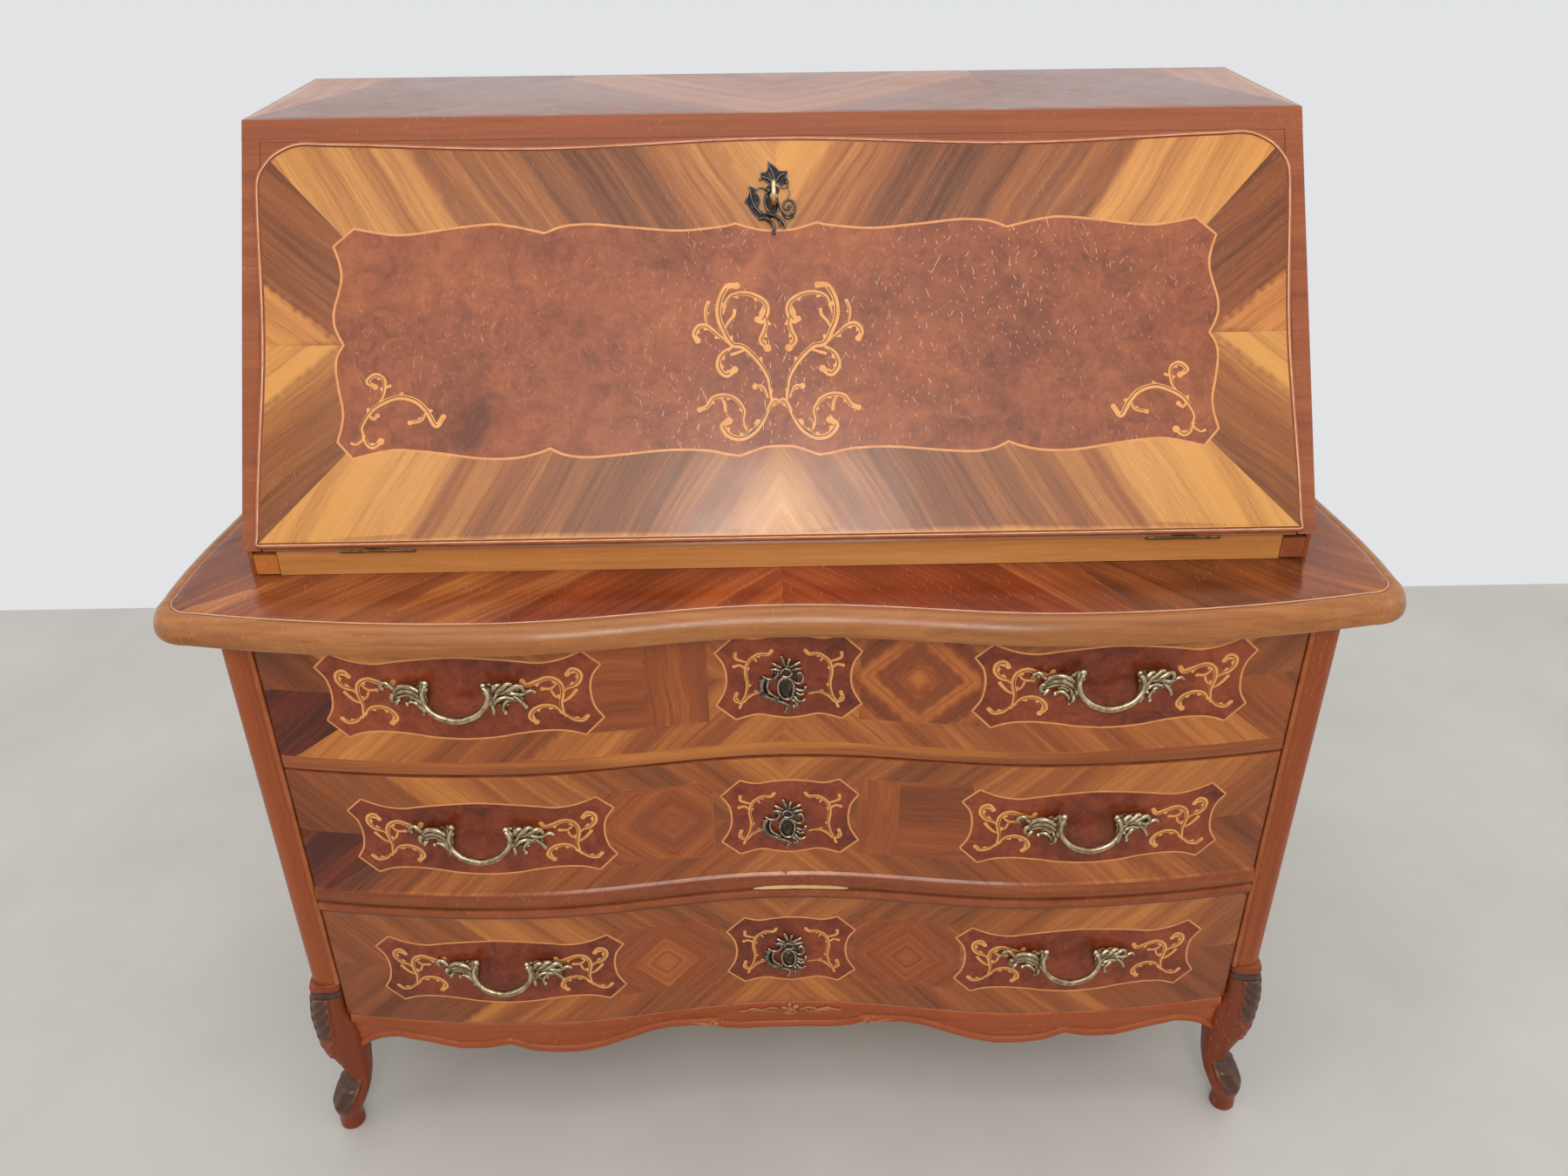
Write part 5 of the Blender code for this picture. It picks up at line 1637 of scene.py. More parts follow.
apronDesign = {
    "profile": [(0, .1165), (.05, .1175), (.07, .1215), (.0815, .1270), (.083, .1285), (.105, .1305), (.128, .1335),
    (.15, .1312),
                (.175, .1235), (.2, .1155), (.228, .1102), (.255, .1106), (.282, .1140), (.302, .1228),
                (.306, .1244), (.310, .1230),
                (.333, .1172), (.362, .1160), (.395, .1235), (.43, .1290), (.4722, .1200)],
    "top": .1575,
    "thick": .0160,
}


def apronLow(x):
    # the shaped edge, turning down in a small arch where it meets each leg
    arch = 0.016 * np.clip((np.abs(x) - 0.440) / 0.0390, 0, 1) ** 2.2
    return np.interp(np.abs(x), [p[0] for p in apronDesign["profile"]], [p[1] for p in apronDesign["profile"]]) - arch


def apronFace(x, z):
    # lip along the shaped edge, a quirk above it, then a shallow hollow up to the drawer
    d = z - apronLow(x)
    lip = .0024 * np.clip(1 - ((d - .0050) / .0050) ** 2, 0, 1) ** .5
    quirk = -.0003 * np.exp(-((d - .0110) / .0024) ** 2)
    swell = .0016 * np.exp(-((z - .1500) / .006) ** 2)
    return frontY(x) + .0016 - lip - quirk - swell


def buildApron():
    xs = np.linspace(-.4800, .4800, 421)
    rings = []
    for x in xs:
        low, high = float(apronLow(x)), apronDesign["top"]
        near = low + np.array([0, .0003, .0010, .0024, .0040, .0056, .0070, .0082, .0091, .0098])
        zs = np.concatenate([near, np.linspace(low + .0112, high - .0006, 13), [high]])
        face = apronFace(np.full_like(zs, x), zs)
        face[-1] += .0006
        back = float(frontY(x)) + .0016 + apronDesign["thick"]
        rings.append([(x, y, z) for y, z in zip(face, zs)]
            + [(x, back, high), (x, back, low + .001), (x, back - .001, low)])
    verts, faces = loftRings(rings)
    parts = [(verts, faces, 0)]

    def onApron(u, w, out):
        x, z = u / 1000 + .003, w / 1000
        return (x, float(apronFace(np.array([x]), np.array([z]))[0]) - out / 1000, z)

    def stroke(points, thick, slot=1, out=1.0):
        line = curveThrough(points, 1.2)
        t = np.linspace(0, 1, len(line))
        radii = thick * np.interp(t, [0, .3, .8, 1], [.35, 1, .85, .5]) / 1000
        parts.append((*tube([onApron(u, w, out) for u, w in line], radii), slot))

    def knob(u, w, size, out=1.5):
        centre = Vector(onApron(u, w, out))
        parts.append((*ball(lambda p: tuple(centre + Vector((p.x, p.y * .7, p.z))), 14, 9, size / 1000), 1))

    for angle in np.arange(5) * 72 + 18:
        a = math.radians(angle)
        stroke([(2.5 * math.cos(a), 148 + 2.5 * math.sin(a)), (6 * math.cos(a + .2), 148 + 6 * math.sin(a + .2)),
                (9.5 * math.cos(a), 148 + 9.0 * math.sin(a))], 2.6, out=.6)
    knob(0, 148, 3.6, 2.4)
    stroke([(-9, 143), (-4, 139.5), (0, 138.8), (4, 139.5), (9, 143)], 1.6)
    for sign in (1, -1):
        stroke([(sign * 10, 146), (sign * 18, 150), (sign * 26, 149), (sign * 31, 144), (sign * 27, 141)], 1.9)
        stroke([(sign * 22, 142), (sign * 29, 146), (sign * 37, 147), (sign * 45, 144)], 1.8)
        stroke([(sign * 34, 149), (sign * 42, 150), (sign * 50, 147.5), (sign * 57, 148.5)], 1.6)
        stroke([(sign * 15, 147), (sign * 20, 143.5), (sign * 25, 145)], 1.3)
        knob(sign * 32, 143, 1.8)
        knob(sign * 52, 146, 1.5)
        turns = []
        for t in np.linspace(0, 1, 22):
            reach = 6.0 * (1 - .8 * t)
            turns.append((sign * (84 - reach * math.cos(t * 8.6 + .5)), 132.5 + reach * math.sin(t * 8.6 + .5) * .8))
        stroke(turns, 1.5, 0, .4)
        knob(sign * 84, 132, 2.6, 1.0)
        stroke([(sign * 88, 131.5), (sign * 97, 134.0), (sign * 110, 138.5)], 1.3, 0, .3)
    verts, faces, slots = mergeParts(parts)
    piece = makePiece("shaped_apron", verts, faces, [apronWood, apronCarving], slots)
    tidyMesh(piece, sharpAngle=50)
    tagCrest(piece, gain=1.5)
    return seen(piece, "desk", "walnut_frame", "front_apron")


apronCarving = solidWood("carvedRosette", "x", 0.45, tint(76, 38, 26), tint(128, 66, 40), tint(176, 104, 66),
    stripes=0.2,
                         crest=True, rubbed=0.5, grime=0.9)
for side in (1, -1):
    buildPost(side)
    buildLeg(side)
buildApron()
print("posts, legs and apron built")


# cast fittings

def strokeSweeper():
    # sweeps a round section along edge lines, with the thickness taken from each point's "thick" value
    tree = bpy.data.node_groups.new("strokeSweeper", "GeometryNodeTree")
    tree.interface.new_socket("Geometry", in_out="INPUT", socket_type="NodeSocketGeometry")
    sides = tree.interface.new_socket("Sides", in_out="INPUT", socket_type="NodeSocketInt")
    finish = tree.interface.new_socket("Finish", in_out="INPUT", socket_type="NodeSocketMaterial")
    tree.interface.new_socket("Geometry", in_out="OUTPUT", socket_type="NodeSocketGeometry")
    take, give = put(tree, "NodeGroupInput"), put(tree, "NodeGroupOutput")
    curve = put(tree, "GeometryNodeMeshToCurve")
    thick = put(tree, "GeometryNodeInputNamedAttribute", data_type="FLOAT")
    thick.inputs["Name"].default_value = "thick"
    radius = put(tree, "GeometryNodeSetCurveRadius")
    circle = put(tree, "GeometryNodeCurvePrimitiveCircle")
    circle.inputs["Radius"].default_value = 1.0
    sweep = put(tree, "GeometryNodeCurveToMesh")
    sweep.inputs["Fill Caps"].default_value = True
    real = put(tree, "GeometryNodeRealizeInstances")
    colour = put(tree, "GeometryNodeSetMaterial")
    wire(tree, take.outputs["Geometry"], curve.inputs[0])
    wire(tree, curve.outputs[0], radius.inputs["Curve"])
    wire(tree, thick.outputs["Attribute"], radius.inputs["Radius"])
    wire(tree, take.outputs["Sides"], circle.inputs["Resolution"])
    wire(tree, radius.outputs[0], sweep.inputs["Curve"])
    wire(tree, circle.outputs[0], sweep.inputs["Profile Curve"])
    if "Scale" in sweep.inputs:
        wire(tree, thick.outputs["Attribute"], sweep.inputs["Scale"])
    wire(tree, sweep.outputs[0], real.inputs[0])
    wire(tree, real.outputs[0], colour.inputs[0])
    wire(tree, take.outputs["Finish"], colour.inputs["Material"])
    wire(tree, colour.outputs[0], give.inputs[0])
    return tree, sides.identifier, finish.identifier


sweeper, sweeperSides, sweeperFinish = strokeSweeper()


def castFrom(name, strokes, place, finish, voxel, extra, smoothing=2):
    # strokes are (points with height, thickness in mm); extra are ready (verts, faces) lumps; all fused as one
    # casting
    verts, edges, thick = [], [], []
    for points, width in strokes:
        line = curveThrough(points, 0.9)
        t = np.linspace(0, 1, len(line))
        profile = np.interp(t, [0, .12, .45, .85, 1], [.5, .8, 1, .85, .65]) * width
        first = len(verts)
        verts += [place(*p) for p in line]
        edges += [(i, i + 1) for i in range(first, len(verts) - 1)]
        thick += list(profile / 1000)
    mesh = bpy.data.meshes.new(name + "_lines")
    mesh.from_pydata(verts, edges, [])
    layer = mesh.attributes.new("thick", "FLOAT", "POINT")
    layer.data.foreach_set("value", np.array(thick, dtype=np.float32))
    lines = bpy.data.objects.new(name + "_lines", mesh)
    scene.collection.objects.link(lines)
    sweep = lines.modifiers.new("sweep", "NODES")
    sweep.node_group = sweeper
    sweep[sweeperSides] = 10
    sweep[sweeperFinish] = finish
    body = bpy.data.meshes.new_from_object(lines.evaluated_get(bpy.context.evaluated_depsgraph_get()))
    bpy.data.objects.remove(lines)
    work = bmesh.new()
    work.from_mesh(body)
    for v, f in extra:
        made = [work.verts.new(p) for p in v]
        for face in f:
            work.faces.new([made[i] for i in face])
    bmesh.ops.recalc_face_normals(work, faces=work.faces)
    work.to_mesh(body)
    work.free()
    piece = bpy.data.objects.new(name, body)
    scene.collection.objects.link(piece)
    fuse = piece.modifiers.new("fuse", "REMESH")
    fuse.mode = "VOXEL"
    fuse.voxel_size = voxel
    fuse.use_smooth_shade = True
    soften = piece.modifiers.new("soften", "SMOOTH")
    soften.factor, soften.iterations = 0.5, smoothing
    result = bpy.data.meshes.new_from_object(piece.evaluated_get(bpy.context.evaluated_depsgraph_get()))
    piece.modifiers.clear()
    piece.data = result
    result.name = name
    result.materials.clear()
    result.materials.append(finish)
    result.polygons.foreach_set("use_smooth", [True] * len(result.polygons))
    tagCrest(piece, gain=1.5, rounds=1)
    return piece


def lump(centre, size, place):
    # a rounded drop at a place, as wide, high and deep as size says
    return ball(lambda p: place(*[c + s * q for c, s, q in zip(centre, size, p)]))


bailHandle = {
    "stout": 1.30,
    "tall": 1.45,
    "level": 3.0,
    # (across, up, out) in millimetres from the middle of the handle's top line, then thickness
    "strokes": [
        ([(-26.5, 2, 12), (-29, -4, 13), (-29.5, -9, 14.5), (-27.3, -16.4, 17), (-19.7, -24, 19.5),
        (-9.8, -28.4, 20.5),
          (0, -30, 21), (9.8, -28.4, 20.5), (19.7, -24, 19.5), (27.3, -16.4, 17), (29.5, -9, 14.5), (28, -3, 13),
          (25.7, 0, 12)], 2.5),
        ([(-27.3, -17.4, 18.6), (-19.7, -25, 21), (-9.8, -29.4, 22.0), (0, -31, 22.3), (9.8, -29.4, 22.0),
        (19.7, -25, 21),
          (27.3, -17.4, 18.6)], 1.5),
        # left mount
        ([(-31, -8, 12), (-30, -2, 11), (-29, 3, 8), (-33, 0, 6), (-38, -2, 4)], 2.3),
        ([(-30, -6, 10), (-35, -3, 8.5), (-42, -.5, 7.5), (-50, -1, 5.5), (-56, -4, 4), (-58.5, -8.5, 3)], 2.2),
        ([(-31, -9, 10), (-37, -5.5, 8), (-44, -3.5, 7), (-51, -5, 5), (-57, -8, 3)], 2.4),
        ([(-33.5, -16, 7), (-34.5, -11.5, 8), (-38, -8, 7.5), (-44, -6.8, 6.5), (-50.5, -8.4, 4.5), (-56, -11, 3)],
        1.6),
        ([(-55, -6, 4), (-60, -2.5, 4.5), (-64.5, .5, 4), (-69, -1, 3.5), (-70.3, -4.2, 3), (-67.5, -5.2, 3)], 1.7),
        ([(-56, -8, 3), (-60.5, -9, 3.5), (-61.5, -12.5, 3), (-58, -14.5, 3)], 2.1),
        ([(-54, -12, 3), (-57, -14, 4), (-58.5, -17, 3)], 1.6),
        ([(-48, -15.5, 2.5), (-43.5, -13.6, 4), (-38.5, -14.8, 5), (-35, -18.5, 4.5), (-34.3, -22.5, 3)], 1.6),
        ([(-46, -12, 2), (-41, -10.5, 4), (-36.5, -13, 5)], 1.3),
        ([(-33, -6, 9), (-40, -6.6, 7.4), (-47, -6.5, 5.8)], 1.2),
        ([(-33, -12, 8), (-32, -18, 8), (-33.5, -22, 5)], 1.4),
        # right mount
        ([(31, -9, 12), (29.5, -2, 11), (26, 1.5, 9), (31, .5, 6)], 2.2),
        ([(30, -5, 10), (34, -1.5, 8), (38, .5, 7), (41, -1.5, 6)], 2.2),
        ([(34, -5, 8), (42, -1.5, 7.5), (47, 1, 6.5), (51, -1, 5.5)], 2.2),
        ([(36, -6, 7), (46, -4, 7), (54, -1, 6), (58.5, -2.5, 5), (60, -6, 4)], 2.2),
        ([(31, -20, 6), (32, -14, 7.5), (36, -10.5, 8), (42, -9.2, 7), (48, -10.5, 5.5), (52, -13, 3.5)], 1.7),
        ([(40, -6.5, 6), (50, -7, 5.5), (57, -8.5, 4.5), (62, -7, 4), (66.5, -6, 4), (70.4, -8.2, 3.2)], 1.7),
        ([(50, -9.5, 4), (56, -13, 4.5), (60.3, -18.5, 3.5)], 1.6),
        ([(52, -6, 4), (56, -9.5, 4), (58.5, -13, 3)], 1.5),
        ([(52, -13.5, 3), (46, -12.5, 4.5), (41.5, -14.5, 5), (39.5, -19, 4), (40.6, -22.5, 3)], 1.6),
        ([(45, -16.5, 3), (40, -16.5, 4), (35, -16.2, 3)], 1.4),
        ([(32, -11, 9), (36, -6, 8), (43, -5.2, 6.8)], 1.5),
        ([(31, -14, 9), (31.5, -19, 8), (30.5, -23, 6)], 1.4),
    ],
    "lumps": [
        ((-26.6, 3.0, 9.5), (3.6, 2.9, 3.4)), ((-26.8, -.6, 11), (3.0, 2.6, 3.0)), ((25.6, .8, 9.5), (3.2, 2.9, 3.2)),
        ((27, -3.0, 11), (2.8, 2.4, 2.8)), ((-34.3, -22.8, 3), (2.1, 2.1, 2.4)), ((40.8, -22.6, 3), (2.2, 2.0, 2.4)),
        ((-48.2, -15.6, 3), (2.0, 1.8, 2.2)), ((-69, -3.6, 3), (1.8, 1.8, 2.0)),
        ((60.3, -18.6, 3.2), (1.9, 1.9, 2.0)),
        ((-36, -6, 3.4), (7.5, 7.0, 3.6)), ((-47, -5.5, 2.6), (10.0, 5.4, 2.6)), ((36, -6, 3.4), (7.5, 7.0, 3.6)),
        ((47, -5, 2.6), (11.0, 5.6, 2.6)), ((-30, -10, 5.5), (3.6, 6.5, 5.5)), ((30, -10, 5.5), (3.6, 6.5, 5.5)),
        ((-58, -10, 2.2), (4.0, 4.2, 2.2)), ((57, -8.5, 2.2), (4.6, 4.0, 2.2)),
    ],
    "voxel": 0.00055,
}

keyholePlate = {
    "stout": 1.35,
    "tall": 1.28,
    "level": 0.0,
    "strokes": [
        ([(7.2, 4.6, 3), (3.6, 6.8, 3), (-1.4, 6.6, 3), (-4.9, 3, 3), (-5.6, -2.8, 3), (-3.8, -8.3, 3), (0, -11.6, 3),
          (4.6, -11.8, 3)], 1.05),
        ([(7.2, 4.6, 3), (9.2, .5, 3), (9.0, -5, 2.8), (7.4, -10, 2.8), (4.6, -12.4, 2.6)], 1.15),
        ([(-12, -14.0, 1.6), (-6, -13.2, 3), (.7, -15.6, 3), (5.8, -18.6, 2.4)], 1.25),
        ([(7.6, -12.6, 2.5), (11.6, -15.2, 2.8), (11.6, -19.3, 2.6), (8.6, -20.4, 2.4)], 1.15),
        ([(9.4, -9.7, 2), (13.0, -12.9, 3), (17.0, -13.6, 2.8), (20, -12.4, 2)], 1.3),
        ([(9.6, -2.2, 2.2), (14, -4.0, 2.6), (18.4, -4.2, 2.4), (20, -1.6, 2.4)], 1.3),
        ([(11, -6.5, 1.8), (15.0, -8.4, 2), (18.4, -7.4, 2)], 1.1),
        ([(8, 4.8, 2.4), (11.6, 2.2, 2.6), (16.2, 2.6, 2.6), (18.0, 6.9, 2.4), (15.6, 10.9, 2.4),
        (12.0, 10.2, 2.4)], .95),
        ([(-3.2, 10.3, 2.6), (-1.2, 13.8, 2.8), (2.2, 15, 3), (5.6, 13.6, 2.8), (7.2, 10.3, 2.6), (3.6, 7.8, 2.6),
        (-1.4, 8.2, 2.6)], 1.05),
        ([(1.4, 16, 2.2), (0, 20.7, 2.6), (-2.6, 25.5, 1.6)], 1.3),
        ([(2.4, 17, 2.2), (4.4, 20.5, 2.4), (5.5, 23.2, 1.6)], 1.2),
        ([(5, 15.5, 2.2), (10, 18.0, 2.4), (15.4, 20.2, 1.5)], 1.35),
        ([(6, 13, 2.2), (11.5, 14.4, 2.4), (16.8, 14.6, 1.5)], 1.35),
        ([(-2, 15.5, 2.2), (-6.6, 17.8, 2.4), (-10.6, 19.6, 1.6)], 1.25),
        ([(-3.4, 13, 2.2), (-8, 14.4, 2.4), (-12.2, 14.0, 1.6)], 1.25),
        ([(-6.5, 13.4, 2.2), (-5.8, 10.2, 2.6), (-9.6, 6.4, 2.8), (-15.5, 6.2, 2.4), (-20, 8.4, 1.8)], 1.1),
        ([(-17.6, 7.2, 1.8), (-20.8, 2, 2.0), (-20.8, -4.1, 2.2), (-17, -9.3, 2.4), (-10.9, -11.5, 2.6),
        (-5, -11, 2.4)], 2.1),
        ([(-14.6, 4.6, 2.2), (-15.6, -1.4, 2.6), (-12.8, -6.4, 3), (-7.6, -9.6, 3)], 1.0),
        ([(-20, 5, 1.4), (-23, 4.2, 1.2)], 1.1), ([(-21, 0, 1.4), (-23.7, -1.6, 1.2)], 1.1),
        ([(-20, -5, 1.4), (-22.6, -7, 1.2)], 1.1),
        ([(3.6, -18.6, 2), (2.4, -21, 2), (1.4, -23.6, 1.6)], 1.0),
        ([(-4.5, 8, 2), (-7, 10.5, 2), (-8, 13, 1.6)], 1.0),
    ],
    "lumps": [
        ((1.6, -2.8, .9), (6.6, 9.6, 1.2)), ((3.4, 17.6, 2.4), (2.3, 2.1, 1.8)), ((20, -1.8, 2.4), (1.7, 1.6, 1.6)),
        ((9.6, -18.6, 2.6), (2.0, 1.8, 1.6)), ((1.4, -23.8, 1.6), (1.7, 1.6, 1.4)), ((-7, -11, 2.4), (3.4, 2.0, 1.8)),
        ((-18.5, -2, .9), (4.0, 8.0, 1.2)), ((4, 12, .9), (7.0, 5.0, 1.2)), ((10, -12, .9), (5.0, 5.0, 1.1)),
        ((-8, 10.5, .8), (3.5, 4.5, 1.0)), ((-4, -13.4, .9), (7, 2.6, 1.1)), ((11, 8, .8), (3.6, 6.6, .9)),
    ],
    "voxel": 0.00045,
}


def onDrawerFace(cx, cz):
    def place(u, w, n):
        x = cx + u / 1000
        return (x, float(frontY(x)) - .0002 - n / 1000, cz + w / 1000)
    return place


def keyholeCut(name, place, out):
    # the keyhole as painted shade: a near-black small round with a slot below, standing just in front of the plate
    # where the hole is
    turn = np.arange(16) * 2 * math.pi / 16
    outline = [(1.5 + 1.5 * math.cos(a), -1.2 + 1.5 * math.sin(a)) for a in turn if math.sin(a) > -.6]
    outline += [(.6, -6.2), (2.4, -6.2)]
    rings = [[place(u, w, n) for u, w in outline] for n in (out - .8, out)]
    return tidyMesh(makePiece(name, *loftRings(rings), [keyholeShade], smooth=False))


chipDesign = {
    "from": -0.035,
    "to": 0.065,
    "low": 0.3287,
    "high": 0.3350,
    "seed": 7,
}


def buildChip():
    # the knocked edge under the middle drawer: raw pale wood standing just proud of the bead
    rng = np.random.default_rng(chipDesign["seed"])
    xs = np.linspace(chipDesign["from"], chipDesign["to"], 44)
    taper = np.sin(np.linspace(0, math.pi, 44)) ** 0.35
    rough = np.convolve(rng.normal(0, 0.0006, 46), np.ones(3) / 3, "valid")
    top = chipDesign["low"] + 0.0016 + (chipDesign["high"] - chipDesign["low"] - 0.0016) * taper + rough * taper
    rings = []
    for x, high in zip(xs, top):
        front = float(frontY(x)) - max(float(faceSwell(2, z)) for z in np.linspace(.3306, high, 5)) - 0.0004
        low = .3306
        rings.append([(x, front, low), (x, front + .0010, low - .0001), (x, front + .0012, high),
            (x, front, high - .0003)])
    verts, faces = loftRings(rings)
    piece = makePiece("chipped_edge", verts, faces, [rawWood])
    tidyMesh(piece, sharpAngle=40)
    return seen(piece, "drawer_2", "walnut_veneer")


rawWood = paleWood("rawChip", "x", 0.6, tint(150, 104, 62), tint(198, 156, 108), tint(226, 194, 150))
buildChip()
# painted shade for the keyholes: a near-black sheet where the hole's inside is in shadow
keyholeShade = mottled("keyholeShadow", 0.9, 300.0, 3, tint(16, 12, 10), tint(34, 26, 20))


def grown(design, keep=0):
    # the strokes and lumps of a casting made taller and stouter; the first few strokes keep their height
    tall, level, stout = design["tall"], design["level"], design["stout"]
    strokes = []
    for index, (points, radius) in enumerate(design["strokes"]):
        stretch = 1 if index < keep else tall
        strokes.append(([(u, level + (w - level) * stretch, n) for u, w, n in points], radius * stout))
    lumps = [((u, level + (w - level) * tall, n), (a, b * tall, c)) for (u, w, n), (a, b, c) in design["lumps"]]
    return strokes, lumps


bailStrokes, bailLumps = grown(bailHandle, keep=2)
plateStrokes, plateLumps = grown(keyholePlate)
for number, plateZ in ((1, .5846), (2, .4147), (3, .2316)):
    for side, label in ((-1, "left"), (1, "right")):
        place = onDrawerFace(side * .297, plateZ + .0205 + .006)
        lumps = [lump(centre, size, place) for centre, size in bailLumps]
        cast = castFrom("bail_handle_%d_%s" % (number, label), bailStrokes, place, castBrass, bailHandle["voxel"],
            lumps)
        seen(cast, "drawer_%d" % number, "antique_brass", "drawer_%d_handle_%s" % (number, label))
    place = onDrawerFace(0.0, plateZ)
    lumps = [lump(centre, size, place) for centre, size in plateLumps]
    cast = castFrom("keyhole_plate_%d" % number, plateStrokes, place, darkBrass, keyholePlate["voxel"], lumps, 1)
    seen(cast, "drawer_%d" % number, "antique_brass", "drawer_%d_escutcheon" % number)
    seen(keyholeCut("keyhole_%d" % number, place, 2.4), "drawer_%d" % number, "antique_brass")
print("handles and keyhole plates cast", len(cast.data.polygons))


flapPlate = {
    # leafy plate of the fall front: flat leaves as outlines, the rest as strokes, all in millimetres from its middle
    "leaves": [
        [(-2, 31.5), (3.5, 27.5), (7, 23), (15, 22.5), (13.8, 17.6), (15.6, 13.8), (9, 9.4), (4.6, 13.8),
        (.2, 10.4), (-4.2, 13.8),
         (-7, 16), (-8.6, 21.6), (-3.2, 22), (-1.6, 26)],
        [(-18.2, 10.4), (-14.8, 9.6), (-11.6, 8.2), (-9, 8.6), (-12.4, 4.4), (-14, -1.4), (-11.2, -7.4),
        (-7.2, -11.4), (-3.2, -14.2),
         (-8.4, -18), (-13, -15.4), (-16.8, -10.6), (-19.4, -5.6), (-22.4, -3.2), (-18.4, 2.2), (-17.2, 6.2)],
    ],
    "strokes": [
        ([(-2, 6.4, 2.6), (-4.4, .4, 3), (-4.4, -6.6, 3), (-2, -11.2, 3), (2.4, -12.8, 2.6)], 1.5),
        ([(-11, -18.2, 1.8), (-5.2, -17.4, 2.8), (-1, -19.8, 3), (2.4, -24.4, 2.8), (2.4, -29, 2.4)], 1.9),
        ([(-3.2, -13.4, 2.4), (3, -15.4, 3), (8, -18.6, 3), (11.4, -23, 2.6), (10.4, -26, 2.2)], 1.9),
        ([(4.6, -14.8, 2), (7, -20, 2.4), (8.4, -24, 2.2)], 1.4),
        ([(6.6, -3.6, 2.4), (8.6, -10.4, 2.8), (13.6, -15.2, 2.8), (19.2, -12.8, 2.6), (20, -6.4, 2.6),
        (16.6, -2.4, 2.6),
          (11.8, -3.6, 2.6), (11, -8.4, 2.6), (14.6, -10.4, 2.8), (16.4, -7.4, 3)], 1.35),
        ([(9.6, -13.4, 1.8), (13.6, -17, 2), (19.6, -15.4, 1.8)], 1.5),
        ([(7.4, 9.4, 2), (11.6, 8.0, 2.2), (14.6, 10.6, 2.2), (14.2, 12.6, 2.2)], .9),
        ([(14.4, 10, 1.6), (15.8, 4, 1.6), (14.0, -1, 1.8)], .7),
        ([(-9.6, 8.6, 2), (-5.6, 8.0, 2.2), (-2, 6.4, 2.4)], 1.1),
        ([(-8, 18, 2), (-2, 16, 2.4), (2, 12.4, 2.4)], .8), ([(-1.4, 27, 2), (2, 21, 2.4), (4, 14, 2.4)], .8),
        ([(13, 21, 2), (8, 18, 2.4), (5, 13.6, 2.4)], .8),
        ([(-16.6, 8, 2), (-16, 0, 2.4), (-12, -9, 2.4), (-7, -14.6, 2.4)], .9),
        ([(4.6, -2, 2), (6.4, -7, 2.2), (5.4, -12, 2.2)], 1.1),
    ],
    "lumps": [((2.2, -29.4, 2.4), (2.0, 1.7, 1.6)), ((15.6, -7.6, 2.6), (1.9, 1.8, 1.5)),
    ((-1.6, 5.8, 2.6), (1.8, 1.8, 1.5)),
              ((-8.4, 15.6, 1.8), (1.4, 1.4, 1.2)), ((13.8, 12.6, 2.2), (1.5, 1.5, 1.3)),
              ((1.6, -4.4, .9), (5.6, 8.8, 1.1)),
              ((-.5, -14, .9), (5, 3, 1.1)), ((1.5, 6.5, .8), (6.5, 5, .9))],
    "thick": 1.5,
    "voxel": 0.00045,
}


def onFlapFace(u, w, n):
    return tuple(onSlant(-.0048 + u / 890, .3232 + w / 890, flapDesign["face"] + .0001 + n / 1000)[0])


def buildFlapPlate():
    parts = [lump(centre, size, onFlapFace) for centre, size in flapPlate["lumps"]]
    for leaf in flapPlate["leaves"]:
        outline = np.array(leaf, float)
        outline = np.vstack([np.linspace(a, b, 6)[:-1] for a, b in zip(outline, np.roll(outline, -1, axis=0))])
        rings = [[onFlapFace(u, w, n) for u, w in outline] for n in (.1, flapPlate["thick"])]
        verts, faces = loftRings(rings)
        parts.append((verts, faces))
        parts.append(lump((*outline.mean(axis=0), flapPlate["thick"]), (5.0, 7.5, 1.0), onFlapFace))
    cast = castFrom("fall_front_plate", flapPlate["strokes"], onFlapFace, plateBrass, flapPlate["voxel"], parts, 1)
    seen(cast, "flap", "antique_brass", "flap_escutcheon")
    seen(keyholeCut("fall_front_keyhole", onFlapFace, 2.6), "flap", "antique_brass")


keyDesign = {
    "across": -.0020,
    "up": .3170,
    "bowAt": .0375,
    "bowWide": .0085,
    "wire": .0019,
    "shank": .0023,
}


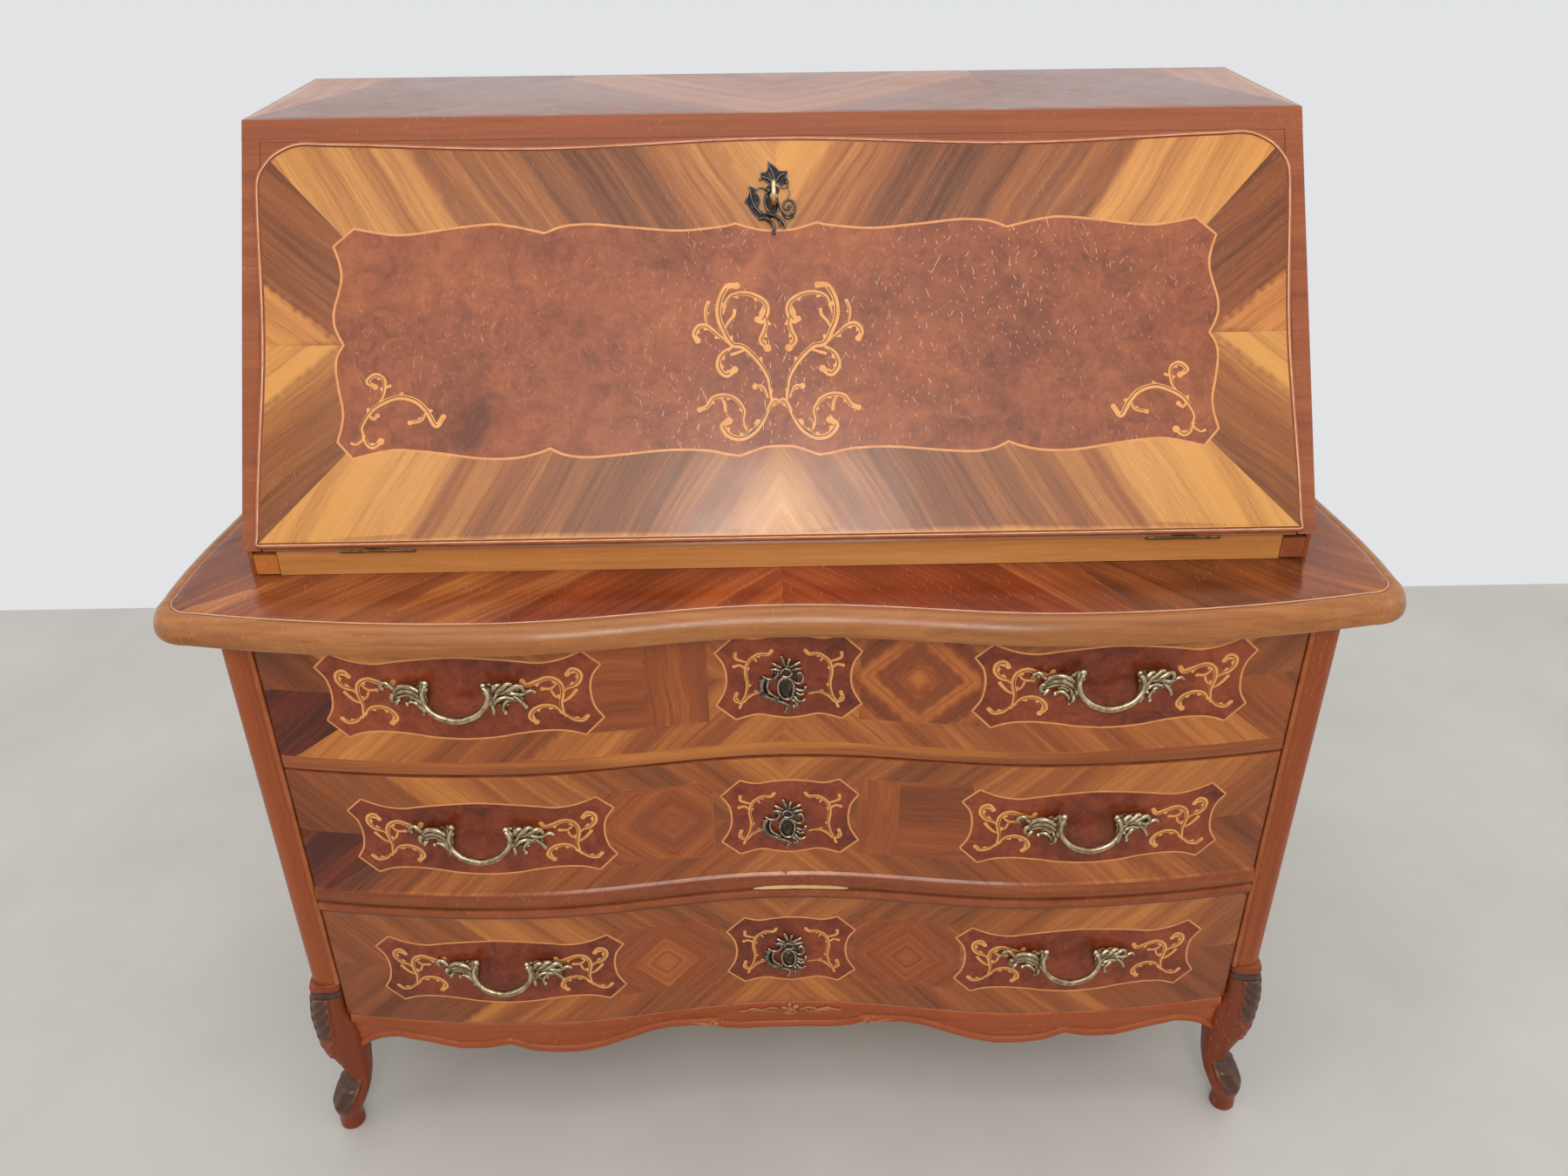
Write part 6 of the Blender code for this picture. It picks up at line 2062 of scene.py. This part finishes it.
def buildKey():
    # lever key stood in the lock: pierced bow seen edge-on, collar, shank and bit
    k = keyDesign
    parts = []

    def at(u, w, n):
        return tuple(onSlant(k["across"] + u, k["up"] + w, n)[0])

    turn = np.linspace(0, 2 * math.pi, 41)
    loop = [(0.0, k["bowWide"] * 1.12 * math.sin(t), k["bowAt"] + k["bowWide"] * math.cos(t)) for t in turn]
    rings = []
    for i, t in enumerate(turn[:-1]):
        outward = np.array([0.0, math.sin(t), math.cos(t)])
        centre = np.array(loop[i])
        rings.append([at(*(centre + k["wire"] * (math.cos(a) * outward + 1.15 * math.sin(a) * np.array([1.0, 0, 0]))))
                      for a in np.arange(10) * 2 * math.pi / 10])
    parts.append(loftRings(rings + rings[:1], capped=False))
    low = k["bowAt"] - k["bowWide"]
    profile = [(.0012, low + .0012), (.0030, low + .0004), (.0036, low - .0010), (.0030, low - .0022),
        (.0024, low - .0028),
               (.0034, low - .0040), (.0034, low - .0054), (.0024, low - .0064), (.0023, .0100), (.0023, -.0120),
               (.0016, -.0126)]
    stack = [[at(r * math.cos(a), r * math.sin(a), n) for a in np.arange(16) * 2 * math.pi / 16] for r, n in profile]
    parts.append(loftRings(stack))
    bit = [[at(u, w, n) for u, w in ((-.0008, -.0018), (.0008, -.0018), (.0008, -.0082), (-.0008, -.0082))]
           for n in (-.0112, -.0104, -.0068, -.0060)]
    parts.append(loftRings(bit))
    piece = makePiece("lever_key", *mergeParts(parts)[:2], [keyBrass])
    tidyMesh(piece, sharpAngle=50)
    tagCrest(piece)
    return seen(piece, "key", "bright_brass", "flap_key")


buildFlapPlate()
buildKey()
print("fall front plate and key cast")


# finishes on the carcase nodes

carcase = [
    (sideWood, "chest_side_left chest_side_right leg_back_left leg_back_right"),
    (backWood, "chest_back_panel case_back"),
    (innerX, "chest_bottom_board dust_board_lower dust_board_upper writing_bed gallery_shelf"),
    (innerX, "letter_drawer_left letter_drawer_right drawer_1_bottom drawer_2_bottom drawer_3_bottom"),
    (innerY, "drawer_1_box drawer_2_box drawer_3_box"),
    (innerZ, "gallery_divider_left gallery_divider_right"),
    (knobBrass, "letter_knob_left letter_knob_right"),
    (loperWood, "loper_left"),
    (loperDark, "loper_right"),
    (hingeBrass, "hinge_fixed_leaf_left hinge_fixed_leaf_right hinge_flap_leaf_left hinge_flap_leaf_right"),
    (steelGrey, "flap_lock_case flap_lock_bolt drawer_1_lock drawer_2_lock drawer_3_lock"),
    (caseEdge, "lock_rail"),
    (sillWood, "flap_sill"),
]
for material, labels in carcase:
    for label in labels.split():
        for slot in nodes[label].material_slots:
            slot.material = material
print("carcase nodes finished")
